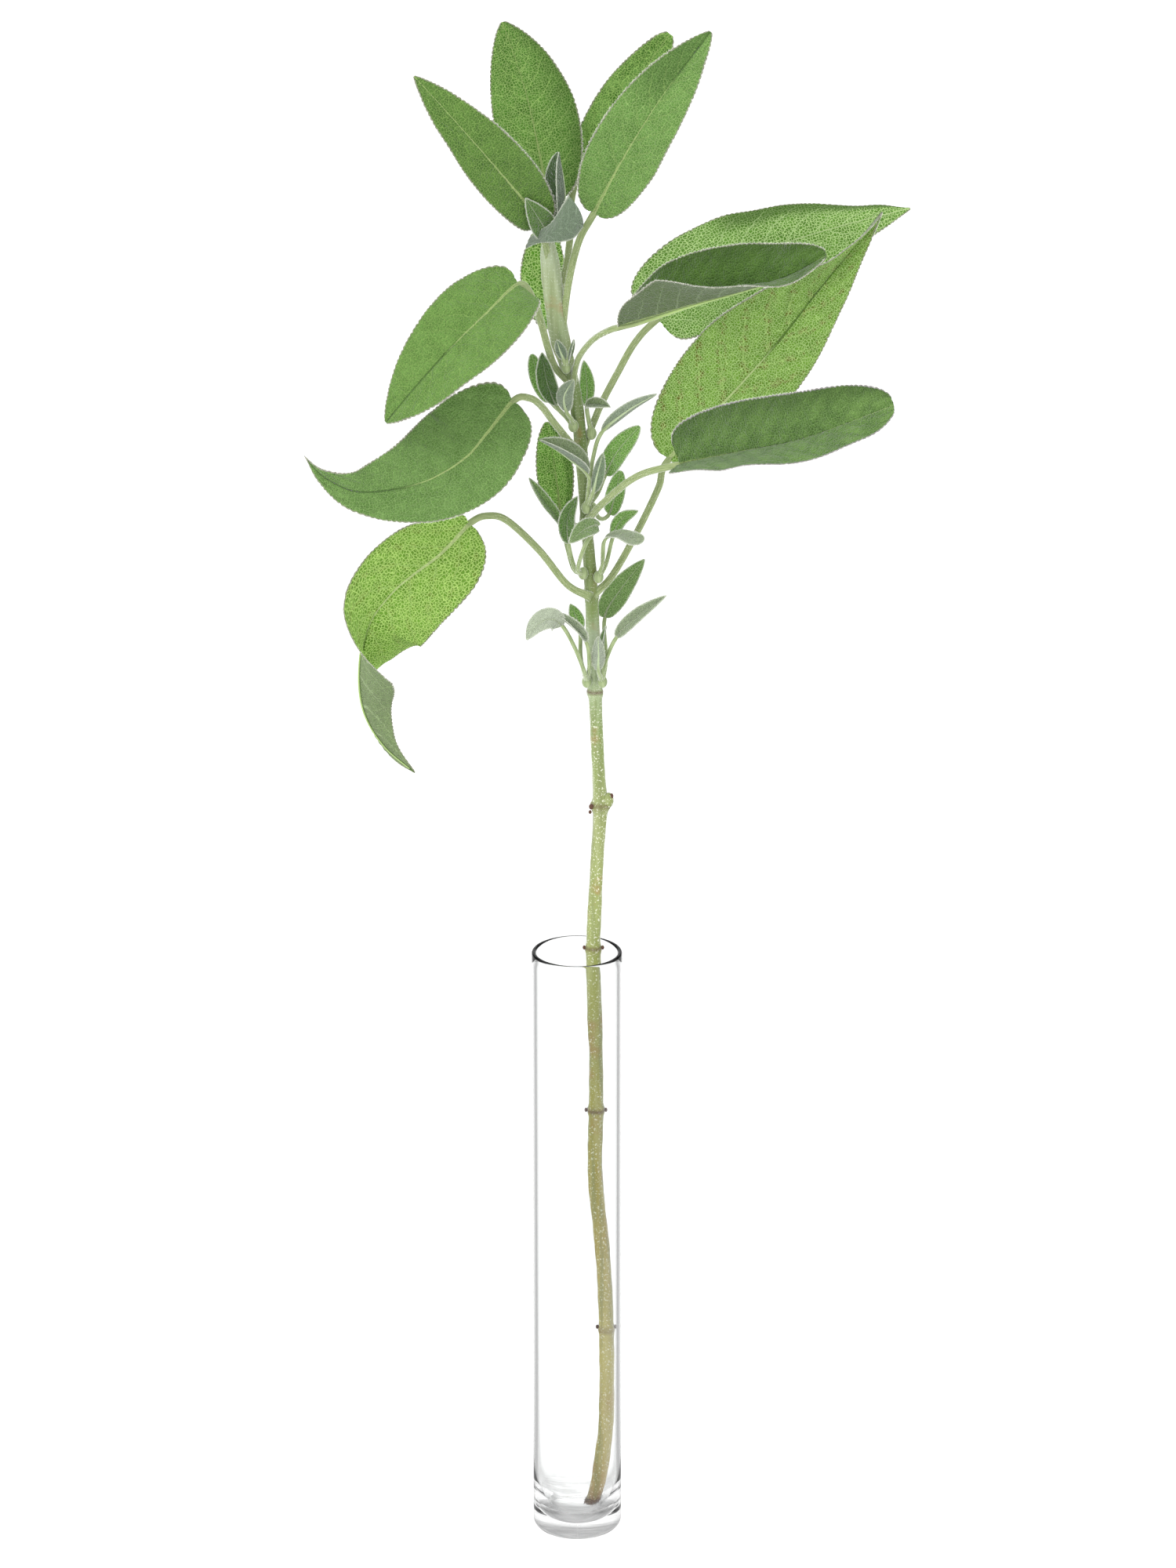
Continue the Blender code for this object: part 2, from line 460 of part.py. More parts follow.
def stem_mesh(name, extra, stretch=0.0):
    """Stem as a bevelled curve turned into a closed mesh, `extra` thicker all round and
    longer by `stretch` at its tip."""
    centres, radii = stem_rings()
    if stretch:
        centres = np.vstack([centres, centres[-1] + stretch * unit(centres[-1] - centres[-2])])
        radii = np.append(radii, radii[-1])
    curve = bpy.data.curves.new(name, "CURVE")
    curve.dimensions = "3D"
    curve.bevel_depth = MM
    curve.bevel_resolution = STEM_SIDES_LEVEL
    curve.use_fill_caps = True
    spline = curve.splines.new("POLY")
    spline.points.add(len(centres) - 1)
    for point, centre, radius in zip(spline.points, centres, radii):
        point.co = (*(centre * MM), 1)
        point.radius = radius + extra
    tube = bpy.data.objects.new(name, curve)
    bpy.context.scene.collection.objects.link(tube)
    mesh = solid_copy(tube, name)
    skin = bmesh.new()
    skin.from_mesh(mesh)
    bmesh.ops.remove_doubles(skin, verts=skin.verts, dist=0.000001)
    bmesh.ops.recalc_face_normals(skin, faces=skin.faces)
    skin.to_mesh(mesh)
    skin.free()
    bpy.data.objects.remove(tube)
    return mesh


# ------------------------------------------------------------------ the leaves
LARGE = dict(columns=(-1.0, -0.5, 0.0, 0.5, 1.0), row_step=TOOTH_STEP, thick=BLADE_THICK,
             petiole_radius=PETIOLE_RADIUS, rib_depth=RIB_DEPTH, tooth=TOOTH_DEPTH)
SMALL = dict(columns=(-1.0, 0.0, 1.0), row_step=2.0, thick=YOUNG_THICK,
             petiole_radius=YOUNG_PETIOLE_RADIUS, rib_depth=0.0, tooth=0.0)


def make_leaf(name, shape, group, stem_clearance):
    piece = add_object(name, ring_mesh(name, leaf_rings(shape, **LARGE)), group, "leaf")
    boolean(piece, "DIFFERENCE", stem_clearance)


def heel_place(height, azimuth):
    """Centre of a heel that sits on the stem at a height and on the side that azimuth
    names in degrees from +X, or on the stem's tip where azimuth is None."""
    curve = smooth_curve(STEM_PATH)
    if azimuth is None:
        return (*curve[-1, :2], height)
    x, y = (np.interp(height, curve[:, 2], curve[:, k]) for k in (0, 1))
    reach = np.interp(height, *np.transpose(STEM_RADII)) + GAP + HEEL_SEAT * HEEL_RADIUS
    return (x + reach * math.cos(math.radians(azimuth)), y + reach * math.sin(math.radians(azimuth)), height)


def make_shoot(name, heel, leaves, group, clearances):
    """The young leaves, each sunk into the heel, fused with it into one body."""
    skin = bmesh.new()
    bmesh.ops.create_icosphere(skin, subdivisions=2, radius=HEEL_RADIUS * MM)
    bmesh.ops.translate(skin, verts=skin.verts, vec=[c * MM for c in heel])
    mesh = bpy.data.meshes.new(name)
    skin.to_mesh(mesh)
    skin.free()
    rough = add_object(name + " heel", mesh, group)
    parts = collection(name + " leaves")
    for number, shape in enumerate(leaves):
        rooted = dict(shape, stalk=[heel] + shape["stalk"])
        add_object(f"{name} {number}", ring_mesh(name, leaf_rings(rooted, **SMALL)), parts)
    boolean(rough, "UNION", parts)
    shoot = add_object(name, solid_copy(rough, name), group, "young leaf")
    for part in list(parts.objects) + [rough]:
        bpy.data.objects.remove(part)
    bpy.data.collections.remove(parts)
    for cutter in clearances:
        boolean(shoot, "DIFFERENCE", cutter)


# Petioles that a shoot's heel is seated against.
SEATS = {
    "shoot_low_left": ["leaf_bottom_left"],
    "shoot_low_right": ["leaf_bottom_right"],
    "shoot_mid_front": ["leaf_low_right"],
    "shoot_mid_behind": ["leaf_low_behind"],
    "shoot_high_left": ["leaf_middle_left"],
    "shoot_high_right": ["leaf_middle_right"],
    "shoot_top_front": ["leaf_upper_left", "leaf_upper_right"],
    "tip_bud": ["leaf_top_left", "leaf_top_back"],
}


def main():
    for item in list(bpy.data.objects):
        bpy.data.objects.remove(item)
    parts = collection("sage sprig in vase")
    cutters = collection("cutters")
    make_vase(parts)
    add_object("stem", stem_mesh("stem", 0.0), parts, "stem")
    clearance = as_cutter(add_object("stem clearance", stem_mesh("stem clearance", GAP, GAP), cutters))
    for name, shape in LEAVES.items():
        make_leaf(name, shape, parts, clearance)
    for name, (heel, leaves) in SHOOTS.items():
        seats = [as_cutter(add_object(seat + " clearance", ring_mesh(seat, leaf_rings(
            LEAVES[seat], **dict(LARGE, tooth=0.0), extra=GAP)), cutters)) for seat in SEATS.get(name, [])]
        make_shoot(name, heel_place(*heel), leaves, parts, [clearance] + seats)


main()
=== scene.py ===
# %% [markdown]
# # A sprig of sage in a glass tube vase
# The real thing is one long stem of common sage.  Its leaves stand in pairs, small shoots
# of young leaves sit in their axils, and the cut stem leans in a slim tube of clear glass
# with a thick bottom.  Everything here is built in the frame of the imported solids: metres,
# origin in the middle of the vase's flat foot, +Z up, -Y towards the viewer.  Tables are
# in millimetres, as the solids' own tables are, because a leaf is easier to think of so.

import math

import bpy
import numpy as np
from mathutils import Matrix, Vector


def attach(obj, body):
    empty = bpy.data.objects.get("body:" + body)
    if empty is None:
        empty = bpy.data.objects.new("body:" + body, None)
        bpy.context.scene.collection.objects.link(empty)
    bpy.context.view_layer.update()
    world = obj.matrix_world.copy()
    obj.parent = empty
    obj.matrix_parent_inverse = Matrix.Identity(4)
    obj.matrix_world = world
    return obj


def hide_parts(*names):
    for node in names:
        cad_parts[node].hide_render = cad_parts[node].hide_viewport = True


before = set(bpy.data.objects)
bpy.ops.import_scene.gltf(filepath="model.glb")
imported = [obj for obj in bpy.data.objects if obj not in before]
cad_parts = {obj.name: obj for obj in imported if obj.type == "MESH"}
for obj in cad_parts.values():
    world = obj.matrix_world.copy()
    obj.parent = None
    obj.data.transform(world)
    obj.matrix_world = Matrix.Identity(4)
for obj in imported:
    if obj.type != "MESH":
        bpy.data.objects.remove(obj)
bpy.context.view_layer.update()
MM = 0.001
chance = np.random.default_rng(7)

# %% [markdown]
# ## Sizes of the sprig
# A leaf is described by a few points along its stalk and its midrib, by the direction its
# upper face looks in at places along the midrib, and by its full width.  That is how a
# botanist would pin it down, and it is enough to rebuild a curled leaf.  Nearly the same
# tables made the solids, so each fine leaf below lies where its solid does; a few leaves
# only curl a little more here, and the hollow of the vase is a little deeper.

# %% Sizes of the vase, the stem and the leaves
VASE_RADIUS = 11.0
VASE_HEIGHT = 154.0
WALL = 1.1              # glass wall, and twice the radius of its melted rim
FLOOR = 2.5             # glass under the middle of the hollow
HOLLOW_ROUND = 16.0     # height over which the hollow rounds in to its floor
HOLLOW_POWER = 3.0      # 2 would be an ellipse, more is squarer
FOOT_ROUND = 1.8        # rounding of the outer bottom edge

# Stem centre line from the cut end up, (x, y, z).
STEM_PATH = [
    (3.9, -0.4, 4.6), (5, -0.3, 9.5), (6.5, 0, 20), (7.4, 0.4, 30.5), (7.4, 1, 53), (6.5, 2.5, 72.5),
    (4.6, 4, 93), (4.8, 4.5, 110.5), (4.8, 5, 124), (4.5, 5, 134), (4, 5.3, 152.5), (4.4, 5, 165),
    (4.9, 5, 176), (5.6, 5, 189), (5, 4, 203.5), (4.4, 3, 219), (4, 2, 231.5), (3.5, 1.5, 244),
    (3, 1, 253), (2.3, 0.5, 262.5), (1.5, 0, 271), (1.1, 0, 279.5), (0.3, 0, 288.5), (-1, 0, 296),
    (-2.3, 0, 301), (-3.7, 0, 306), (-4.8, 0, 313), (-5.8, 0, 322), (-6.4, -0.6, 328), (-6.6, -1.4, 331.6)]
# Stem radius against height, (z, radius), and its swollen nodes, (z, extra radius).
STEM_RADII = [
    (5, 1.9), (110, 1.9), (125, 1.75), (134, 1.95), (165, 1.7), (178, 1.55), (188, 1.75), (204, 1.5),
    (231, 1.65), (253, 1.45), (271, 1.15), (281, 1.5), (296, 1.6), (306, 2.2), (322, 2.2), (327, 2),
    (330, 1.5), (331.6, 0.6)]
STEM_NODES = [(53, 0.35), (110.5, 0.5), (152.5, 0.35), (189.5, 0.8), (219, 0.4), (244, 0.35), (262.5, 0.3)]
NODE_SPREAD = 1.1


def leaf(stalk, rib, face, width, lift=10, **shape):
    """One leaf: stalk and rib points from the stem to the tip, the way its upper face
    looks at places spread evenly from base to tip, and the blade's full width."""
    values = dict(widest=0.42, tip=0.8, share=0.5, ears=0.2, lift_left=lift, lift_right=lift,
                  curl_left=0, curl_right=0)
    values.update(stalk=stalk, rib=rib, face=face, width=width, **shape)
    return values


# Large leaves.  widest: where along the rib the blade is broadest; tip: above 1 the tip
# is drawn out, below 1 it is blunt; share: the right half's share of the width; ears: how
# far the base lobes reach back; lift and curl: degrees by which a half rises from the
# flat at the rib, and turns further by its margin.
LEAVES = {
    "leaf_top_left": leaf(
        [(-6, -0.3, 324), (-7.2, -3.2, 330.5)],
        [(-8, -5, 335.7), (-12.7, -8, 342.4), (-20.7, -12, 353), (-28.8, -13, 362.6), (-37.2, -9, 371)],
        [(0.25, -1, 0.2), (0.2, -1, 0.25)], 14.1, widest=0.34, tip=0.85, lift_right=14, share=0.52, ears=1.2),
    "leaf_top_back": leaf(
        [(-6, 0.5, 324), (-6.7, 5, 330.5)],
        [(-6.8, 8, 338), (-9, 13, 350), (-12.4, 16, 364), (-17.2, 14, 379)],
        [(0.1, -1, 0.3), (-0.1, -1, 0.3)], 20, widest=0.4, tip=0.75, share=0.54, ears=1.2),
    "leaf_top_right": leaf(
        [(-3.7, 0, 305.5), (-2.2, -0.8, 318), (-0.7, -1.4, 326), (1.1, -2.4, 332)],
        [(4, -4, 337.6), (10.6, -6, 350.7), (19.7, -6, 365.5), (31, 0, 379.5)],
        [(-0.1, -1, 0.3), (-0.3, -1, 0.3)], 17.2, widest=0.36, lift_left=16, lift_right=12),
    "leaf_top_back_right": leaf(
        [(-4.8, 0.3, 314), (-2.4, 4.8, 322.7), (-1.4, 9, 330)],
        [(-0.3, 14, 340.5), (8, 20, 354.5), (15.8, 24, 365.5), (22, 25, 374)],
        [(0.3, -1, 0.3)], 12, widest=0.45, tip=0.55, lift=8, ears=1),
    "leaf_upper_left": leaf(
        [(-1.2, -0.2, 296), (-4.9, -2.6, 300.6), (-6.7, -4, 306), (-8.2, -6.2, 312.3), (-10, -8.6, 318.4)],
        [(-13.2, -12, 322.9), (-20.4, -20, 318.2), (-28.7, -26, 311.3), (-36.8, -28, 302.6),
         (-43.8, -27, 293.8)],
        [(-0.1, -0.8, 0.6), (-0.35, -0.9, 0.3)], 21.6, widest=0.34, lift_left=14, lift_right=12, share=0.48,
        ears=1.2),
    "leaf_upper_behind": leaf(
        [(-1, 0.5, 295), (-2.3, 6, 300), (-3.6, 10, 303)],
        [(-5, 13, 306), (-6.5, 20, 313.5), (-7, 26, 321.5), (-6.2, 30, 329)],
        [(0.1, -1, 0.2)], 11, tip=0.7, share=0.4, ears=1),
    "leaf_upper_right": leaf(
        [(-1, -0.3, 295.5), (-0.3, -3.2, 300.8), (1.1, -6, 305), (4.4, -10.6, 309.9)],
        [(9.5, -16, 313.8), (18, -22, 318), (27.5, -28, 322.5), (37.5, -33, 326.5), (47.5, -38, 331),
         (56.5, -42, 337)],
        [(0, -0.5, 0.85), (-0.1, -0.7, 0.7)], 23, widest=0.4, tip=0.55, lift_left=(45, 40, 15),
        lift_right=(70, 92, 62, 25), curl_left=-10, curl_right=(-20, -20, 10), root=0.09),
    "leaf_middle_left": leaf(
        [(1, -0.3, 279), (-1.6, -4, 283.1), (-5.2, -8, 288.8), (-8.3, -11, 293.8), (-10.9, -13, 296.1)],
        [(-14.4, -14.5, 296), (-20.3, -18, 289.5), (-26.2, -21, 283.5), (-36.2, -25, 279),
         (-49.5, -27, 277.5), (-57.8, -27, 281), (-63, -25, 286)],
        [(0.1, -1, 0.5), (-0.1, -1, 0.4), (-0.2, -1, 0.5)], 24.5, widest=0.3, tip=1.4, lift_left=5,
        lift_right=(5, 15, 45), share=0.54, ears=2),
    "leaf_middle_right": leaf(
        [(1.2, 0.3, 279.5), (3.9, 3.2, 285.6), (6, 6.5, 289.8), (9.6, 11, 295.6), (13.8, 16.8, 301.6)],
        [(18.9, 23, 305.5), (30.2, 30.5, 312.9), (47.2, 34, 320.5), (62.8, 37, 324.9), (80.2, 39, 329)],
        [(-0.2, -1, 0.3)], 25, widest=0.28, tip=0.95, lift_left=(0, -10, -25), curl_left=(0, -25, -40),
        lift_right=8, share=0.47, ears=2.5),
    "leaf_low_right": leaf(
        [(2.2, -0.5, 262.5), (6.5, -6, 269), (14.2, -12, 277)],
        [(23.8, -18, 281.5), (37.2, -27, 287), (52, -35, 292.5), (72.3, -42, 302.3)],
        [(0, -0.75, 0.65), (-0.1, -0.8, 0.6)], 21.4, widest=0.38, tip=0.42, lift_left=(40, 35, 15),
        lift_right=(48, 40, 15), share=0.46, ears=1),
    "leaf_low_behind": leaf(
        [(2, 0.5, 261), (-0.7, 5, 260)],
        [(-3.6, 9, 261.5), (-4.6, 13, 267.5), (-5.7, 17, 274), (-7.2, 20, 281.5)],
        [(0, -1, 0.3)], 9, widest=0.45, tip=0.7, lift_right=20, ears=0.8),
    "leaf_bottom_left": leaf(
        [(3.3, -0.3, 244), (-2.2, -2.2, 247.6), (-8.8, -4, 256.6), (-16.2, -5, 264.1), (-20.6, -6.5, 265.8)],
        [(-24.7, -8, 264.6), (-32, -9.5, 257.3), (-42, -12, 249.9), (-48.5, -15, 242), (-50.8, -16, 231.5),
         (-50.2, -15, 220.5), (-45.7, -13, 211), (-38, -12, 203.5)],
        [(0.2, -1, 0.1), (0.2, -1, 0.1), (0.25, -1, 0.1), (0.35, -0.95, 0.15), (0.9, -0.4, 0.2),
         (0.9, 0.5, 0), (0.6, 0.9, 0), (0.3, 1, 0)], 25.5,
        widest=0.33, tip=1.12, lift_left=(5, 5, 14, 16, 36, 50), lift_right=(5, 5, 20, 55, 60, 50),
        curl_right=(0, 0, 12, 30, 0, 0), share=0.47, ears=1.5),
    "leaf_bottom_right": leaf(
        [(3.7, 0.5, 244), (8.3, 3, 248), (14.2, 7, 257.5), (19.4, 11, 267.5)],
        [(21.7, 14, 273.5), (33.6, 17, 285.3), (46.4, 19, 299.5), (58.3, 22, 314.4), (72.4, 22.5, 332.4)],
        [(-0.3, -1, 0.2)], 26.4, widest=0.33, tip=1.1, lift_left=(5, 5, 50, 125), lift_right=5, share=0.43,
        ears=1.2),
}


def young(rib, face, width, stalk=(), **shape):
    """A small leaf of a shoot; its stalk runs on from the shoot's heel."""
    return leaf(list(stalk), rib, face, width, **shape)


# The foremost leaf of the tip bud is folded like a hood: its upper and its lower edge.
HOOD = (
    [(-10.7, -5, 332.2), (-8.2, -7, 334.4), (-5.8, -8.5, 336.4), (-4.2, -9, 338.9), (-2.9, -9, 341.2),
     (-1.8, -8.5, 343)],
    [(-11.7, -4.4, 329.5), (-8.9, -7, 331.4), (-6, -9, 332.1), (-3.1, -9.5, 332.4), (-0.6, -9, 333.1),
     (1.5, -8, 335.4)])

# Shoots in the leaf axils: height and side of the stem where the heel sits, then the
# young leaves that grow from it.
SHOOTS = {
    "shoot_ring_left": ((222.5, -130), [
        young([(-3.4, -8.3, 239.3), (-6.2, -10.5, 241.6), (-9.2, -12, 240.6), (-11.8, -13, 237.2)],
              [(-0.1, -1, 0.3), (-0.4, -0.8, 0.5), (-0.7, -0.7, 0.3)], 5.6,
              [(1.8, -3.5, 226.5), (-0.6, -6, 233.5)], ears=0),
        young([(2.2, -5.2, 234.5), (-1.8, -7.4, 239.5), (-6.2, -8.6, 242.8)],
              [(0.3, -0.9, 0.3), (-0.1, -0.5, 1)], 4,
              [(3, -3.7, 228.3)], lift=55),
        young([(0.8, 4, 234.5), (-0.4, 6, 237.5), (-1.6, 7, 240)], [(0.2, -1, 0.3)], 3.4, [(1, 0, 228.5)])]),
    "shoot_ring_right": ((222.5, -50), [
        young([(5.2, -3.2, 226.5), (5.2, -4.2, 231), (5.1, -4.4, 235.5)], [(0, 1, 0.3)], 3.5,
              lift=25),
        young([(6, -2.2, 228.5), (6.4, -1.4, 233), (7.1, -0.6, 237)], [(-0.9, -0.3, 0.2)], 3,
              lift=30),
        young([(9.5, -2, 234.5), (14.3, -3, 240), (21.3, -4, 245.5)], [(-0.3, -1, 0.2)], 3.8,
              [(6.9, -2, 228.5)], widest=0.36, lift_left=15, lift_right=35),
        young([(6.7, 7, 236.5), (10.2, 9, 242.5), (16.3, 11, 250)], [(-0.3, -1, 0.2)], 6,
              [(7, 2, 228)], widest=0.33, lift=8)]),
    "shoot_low_left": ((250, -127), [
        young([(5, -9, 264), (1.8, -12, 264), (-1.8, -15, 261.5)], [(0, -0.8, 0.5)], 4.6,
              [(0.3, -4, 252), (2.2, -8, 259.5)], widest=0.35, ears=0),
        young([(-1.9, -3, 258), (-2.1, -4, 264.5), (0.3, -4, 270)], [(0.1, -1, 0.3)], 4.4,
              [(-0.4, -2, 251.5)], lift_left=15, lift_right=35),
        young([(-3.7, -1, 261.5), (-7.8, 0, 267.5), (-11.3, 1, 273)], [(0.5, -0.8, 0.3)], 3.6,
              [(-0.9, -1, 251.5)], lift=35)]),
    "shoot_low_right": ((249, -45), [
        young([(8.6, 2.5, 258), (10.7, 3.5, 262), (14.7, 4, 264)], [(-0.3, -1, 0.3)], 3.4,
              [(7, 0.5, 252)], lift=15),
        young([(6.7, -2.5, 259), (10.1, -5, 260.5), (13.1, -8, 260.5), (16, -9, 261)],
              [(0, -0.2, 0.9), (0.1, -0.5, 0.8), (0.2, -0.9, 0.4)], 4.2, [(6.1, -2, 253)],
              widest=0.6, tip=0.5, lift=15)]),
    "shoot_mid_front": ((266.5, -80), [
        young([(2.5, -6, 276), (-3, -9, 281.5), (-8.7, -11, 285.5)], [(0.1, -0.3, 1)], 6.2,
              [(2.8, -4, 271.5)], share=0.6, lift_left=50, lift_right=60),
        young([(6.8, -1, 274.2), (9.8, -2, 280.4), (14.9, -2, 286.4)], [(-0.3, -1, 0.3)], 5.6,
              [(5, -2, 270)], tip=0.6),
        young([(3.9, -5, 271), (4.9, -5.6, 275.5), (6.2, -6, 281)], [(0.4, 0.9, 0.3)], 3.4,
              lift=30),
        young([(6, -4, 285.5), (12, -5, 291), (18.8, -7, 295.5)], [(0.3, 0.8, 0.6)], 3.4,
              [(3.1, -3.2, 272.5), (3.9, -3, 279)], lift=30)]),
    "shoot_mid_behind": ((265, 45), [
        young([(7.7, 6, 262.5), (9.2, 8, 267), (10.4, 9, 272.5)], [(0, -1, 0.3)], 4.6,
              [(5.6, 4, 262)], tip=0.5)]),
    "shoot_high_left": ((286.5, -117), [
        young([(-2.3, -5.6, 290.8), (-2.8, -7, 295), (-0.6, -7, 299)], [(0.3, 0.9, 0.2)], 4.2,
              [(-1.0, -4, 288.3)], lift=15),
        young([(-4.7, -3, 291.5), (-6.9, -5, 298), (-8, -5, 305)], [(0.1, -1, 0.3)], 5,
              [(-2.4, -2, 288.5)], widest=0.5, lift_left=12, lift_right=35),
        young([(-6.2, 1.5, 291.5), (-9, 2.5, 297), (-10.5, 3, 302.5)], [(0, -1, 0.3)], 4.2,
              [(-2.8, -0.3, 288.5)], tip=0.5)]),
    "shoot_high_right": ((284, 0), [
        young([(2.4, 4, 289.5), (2.4, 6, 294.5), (1.7, 7, 300)], [(0.2, -1, 0.2)], 3.8, [(3, 2.2, 286)]),
        young([(2.5, -1.8, 291), (5.2, -4, 292), (8, -6, 292)], [(0.2, -0.6, 0.8)], 3.6,
              [(3, -0.4, 286.5)], lift_left=50, lift_right=20)]),
    "shoot_top_front": ((300.8, -93), [
        young([(-2.9, -4.6, 303), (-3.8, -5.2, 305.5), (-4.6, -5.2, 308)], [(0.2, 1, 0.2)], 2.8,
              lift=20),
        young([(-2, -4.4, 303), (-1.5, -4.6, 305.5), (-0.6, -4.6, 308)], [(0.9, -0.3, 0.2)], 2.6,
              lift=35)]),
    "tip_bud": ((330.3, None), [
        young([(-3.3, -3, 335), (-2.8, -3.8, 343), (-4, -4, 352.2)], [(-0.72, -0.7, 0.1)], 9,
              [(-4.9, -1.2, 332.5)], share=0.36, lift_left=10, lift_right=75, tip=0.7),
        young([(-6.4, -5, 333), (-8.5, -7.5, 337), (-11.7, -9.5, 342.6)], [(0.2, -1, 0.2)], 6.4,
              [(-5.2, -3, 331.4)], widest=0.3, tip=0.9, lift_left=15, lift_right=10)]),
}

# %% [markdown]
# ## Curves
# A stalk, a midrib and the stem are all smooth lines through a few points.  A Catmull-Rom
# curve is chosen because it passes through every point of the table, so moving one point
# bends the leaf just there.

# %% Curves and frames
CURVE_STEPS = 24


def smooth_curve(points, steps=CURVE_STEPS):
    """Catmull-Rom curve: each span is the cubic through its two ends whose slopes there
    are half the chord between the neighbours."""
    p = np.asarray(points, float)
    ends = np.vstack([2 * p[0] - p[1], p, 2 * p[-1] - p[-2]])
    t = np.linspace(0.0, 1.0, steps, endpoint=False)[:, None]
    spans = [0.5 * (2 * b + (c - a) * t + (2 * a - 5 * b + 4 * c - d) * t ** 2
                    + (3 * b - a - 3 * c + d) * t ** 3)
             for a, b, c, d in zip(ends[:-3], ends[1:-2], ends[2:-1], ends[3:])]
    return np.vstack(spans + [p[-1:]])


def unit(vectors):
    """Vectors divided by their length."""
    return vectors / np.maximum(np.linalg.norm(vectors, axis=-1, keepdims=True), 1e-9)


def read_rows(at, where, rows):
    """Points read between the rows of a table of points that stand at `where`."""
    return np.stack([np.interp(at, where, rows[:, k]) for k in range(3)], -1)


def spread(values, u):
    """Read at u a list of values spread evenly from 0 to 1; one value holds all along."""
    values = np.atleast_1d(np.asarray(values, float))
    return np.interp(u, np.linspace(0, 1, len(values)), values)


def distances(curve):
    """Length along a curve up to each of its points."""
    return np.r_[0, np.cumsum(np.linalg.norm(np.diff(curve, axis=0), axis=1))]


def leaf_lengths(shape):
    """Length of a leaf's stalk and of its midrib."""
    along = distances(smooth_curve(shape["stalk"] + shape["rib"]))
    stalk = along[len(shape["stalk"]) * CURVE_STEPS]
    return stalk, along[-1] - stalk


def leaf_frame(shape, s):
    """Point, face direction and rightward direction at distance s from the blade's base,
    negative on the stalk.  The face direction is the table's, made square to the curve;
    rightward is tangent cross face."""
    curve = smooth_curve(shape["stalk"] + shape["rib"])
    stalk, blade_length = leaf_lengths(shape)
    where = distances(curve) - stalk
    tangent = unit(read_rows(s, where, unit(np.gradient(curve, where, axis=0))))
    looks = unit(np.asarray(shape["face"], float))
    u = np.clip(s / blade_length, 0, 1)
    face = np.stack([spread(looks[:, k], u) for k in range(3)], -1)
    face = unit(face - (face * tangent).sum(-1, keepdims=True) * tangent)
    return read_rows(s, where, curve), face, np.cross(tangent, face)


lengths = {name: round(leaf_lengths(shape)[1]) for name, shape in LEAVES.items()}
print("midrib lengths in mm:", lengths)

# %% [markdown]
# ## From numbers to a mesh
# Every piece is one or more closed skins: rings of points joined by quads, with the first
# and last ring closed by a strip.  The maker of a mesh only has to stack such skins.  A
# point carries what the materials need: its place on the leaf in millimetres, its place
# among the side veins, and three masks.

# %% Skins and meshes
MARKS = ("under", "rib", "edge", "tone")


def ring_faces(rows, size):
    """Quads between neighbouring rings, then a strip of quads over each end ring."""
    start = np.arange(rows - 1)[:, None] * size
    i = np.arange(size)[None, :]
    j = (i + 1) % size
    walls = np.stack([start + i, start + j, start + size + j, start + size + i], -1).reshape(-1, 4)
    k = np.arange(size // 2 - 1)
    strip = np.stack([k, size - 1 - k, size - 2 - k, k + 1], -1)
    return np.vstack([walls, strip, (rows - 1) * size + strip[:, ::-1]])


def all_round(sides):
    """Angles of so many points, evenly all round."""
    return 2 * np.pi * np.arange(sides) / sides


def eased(u):
    """Spacing from 0 to 1 that is closer at both ends."""
    return 0.5 - 0.5 * np.cos(np.pi * u)


def paired(first, second):
    """Two arrays of numbers spread over one grid and joined to pairs."""
    return np.stack(np.broadcast_arrays(first, second), -1)


def both(upper, lower=None):
    """Rings from rows across the upper face and back across the lower one."""
    return np.concatenate([upper, (upper if lower is None else lower)[:, ::-1]], axis=1)


def skin(points, faces, place=None, veins=None, slot=0, **marks):
    """One closed skin: points (n, 3), faces (m, 3 or 4), and what each point carries."""
    flat = np.asarray(points, float).reshape(-1, 3)
    count = len(flat)
    carried = {"place": np.zeros((count, 2)) if place is None else np.asarray(place).reshape(-1, 2),
               "veins": np.zeros((count, 2)) if veins is None else np.asarray(veins).reshape(-1, 2)}
    for mark in MARKS:
        carried[mark] = np.broadcast_to(marks.get(mark, 0.0), points.shape[:-1]).reshape(-1)
    return flat, np.asarray(faces), carried, slot


def new_object(name, data):
    """Object in the scene for a mesh, a lamp or a camera."""
    made = bpy.data.objects.new(name, data)
    bpy.context.scene.collection.objects.link(made)
    return made


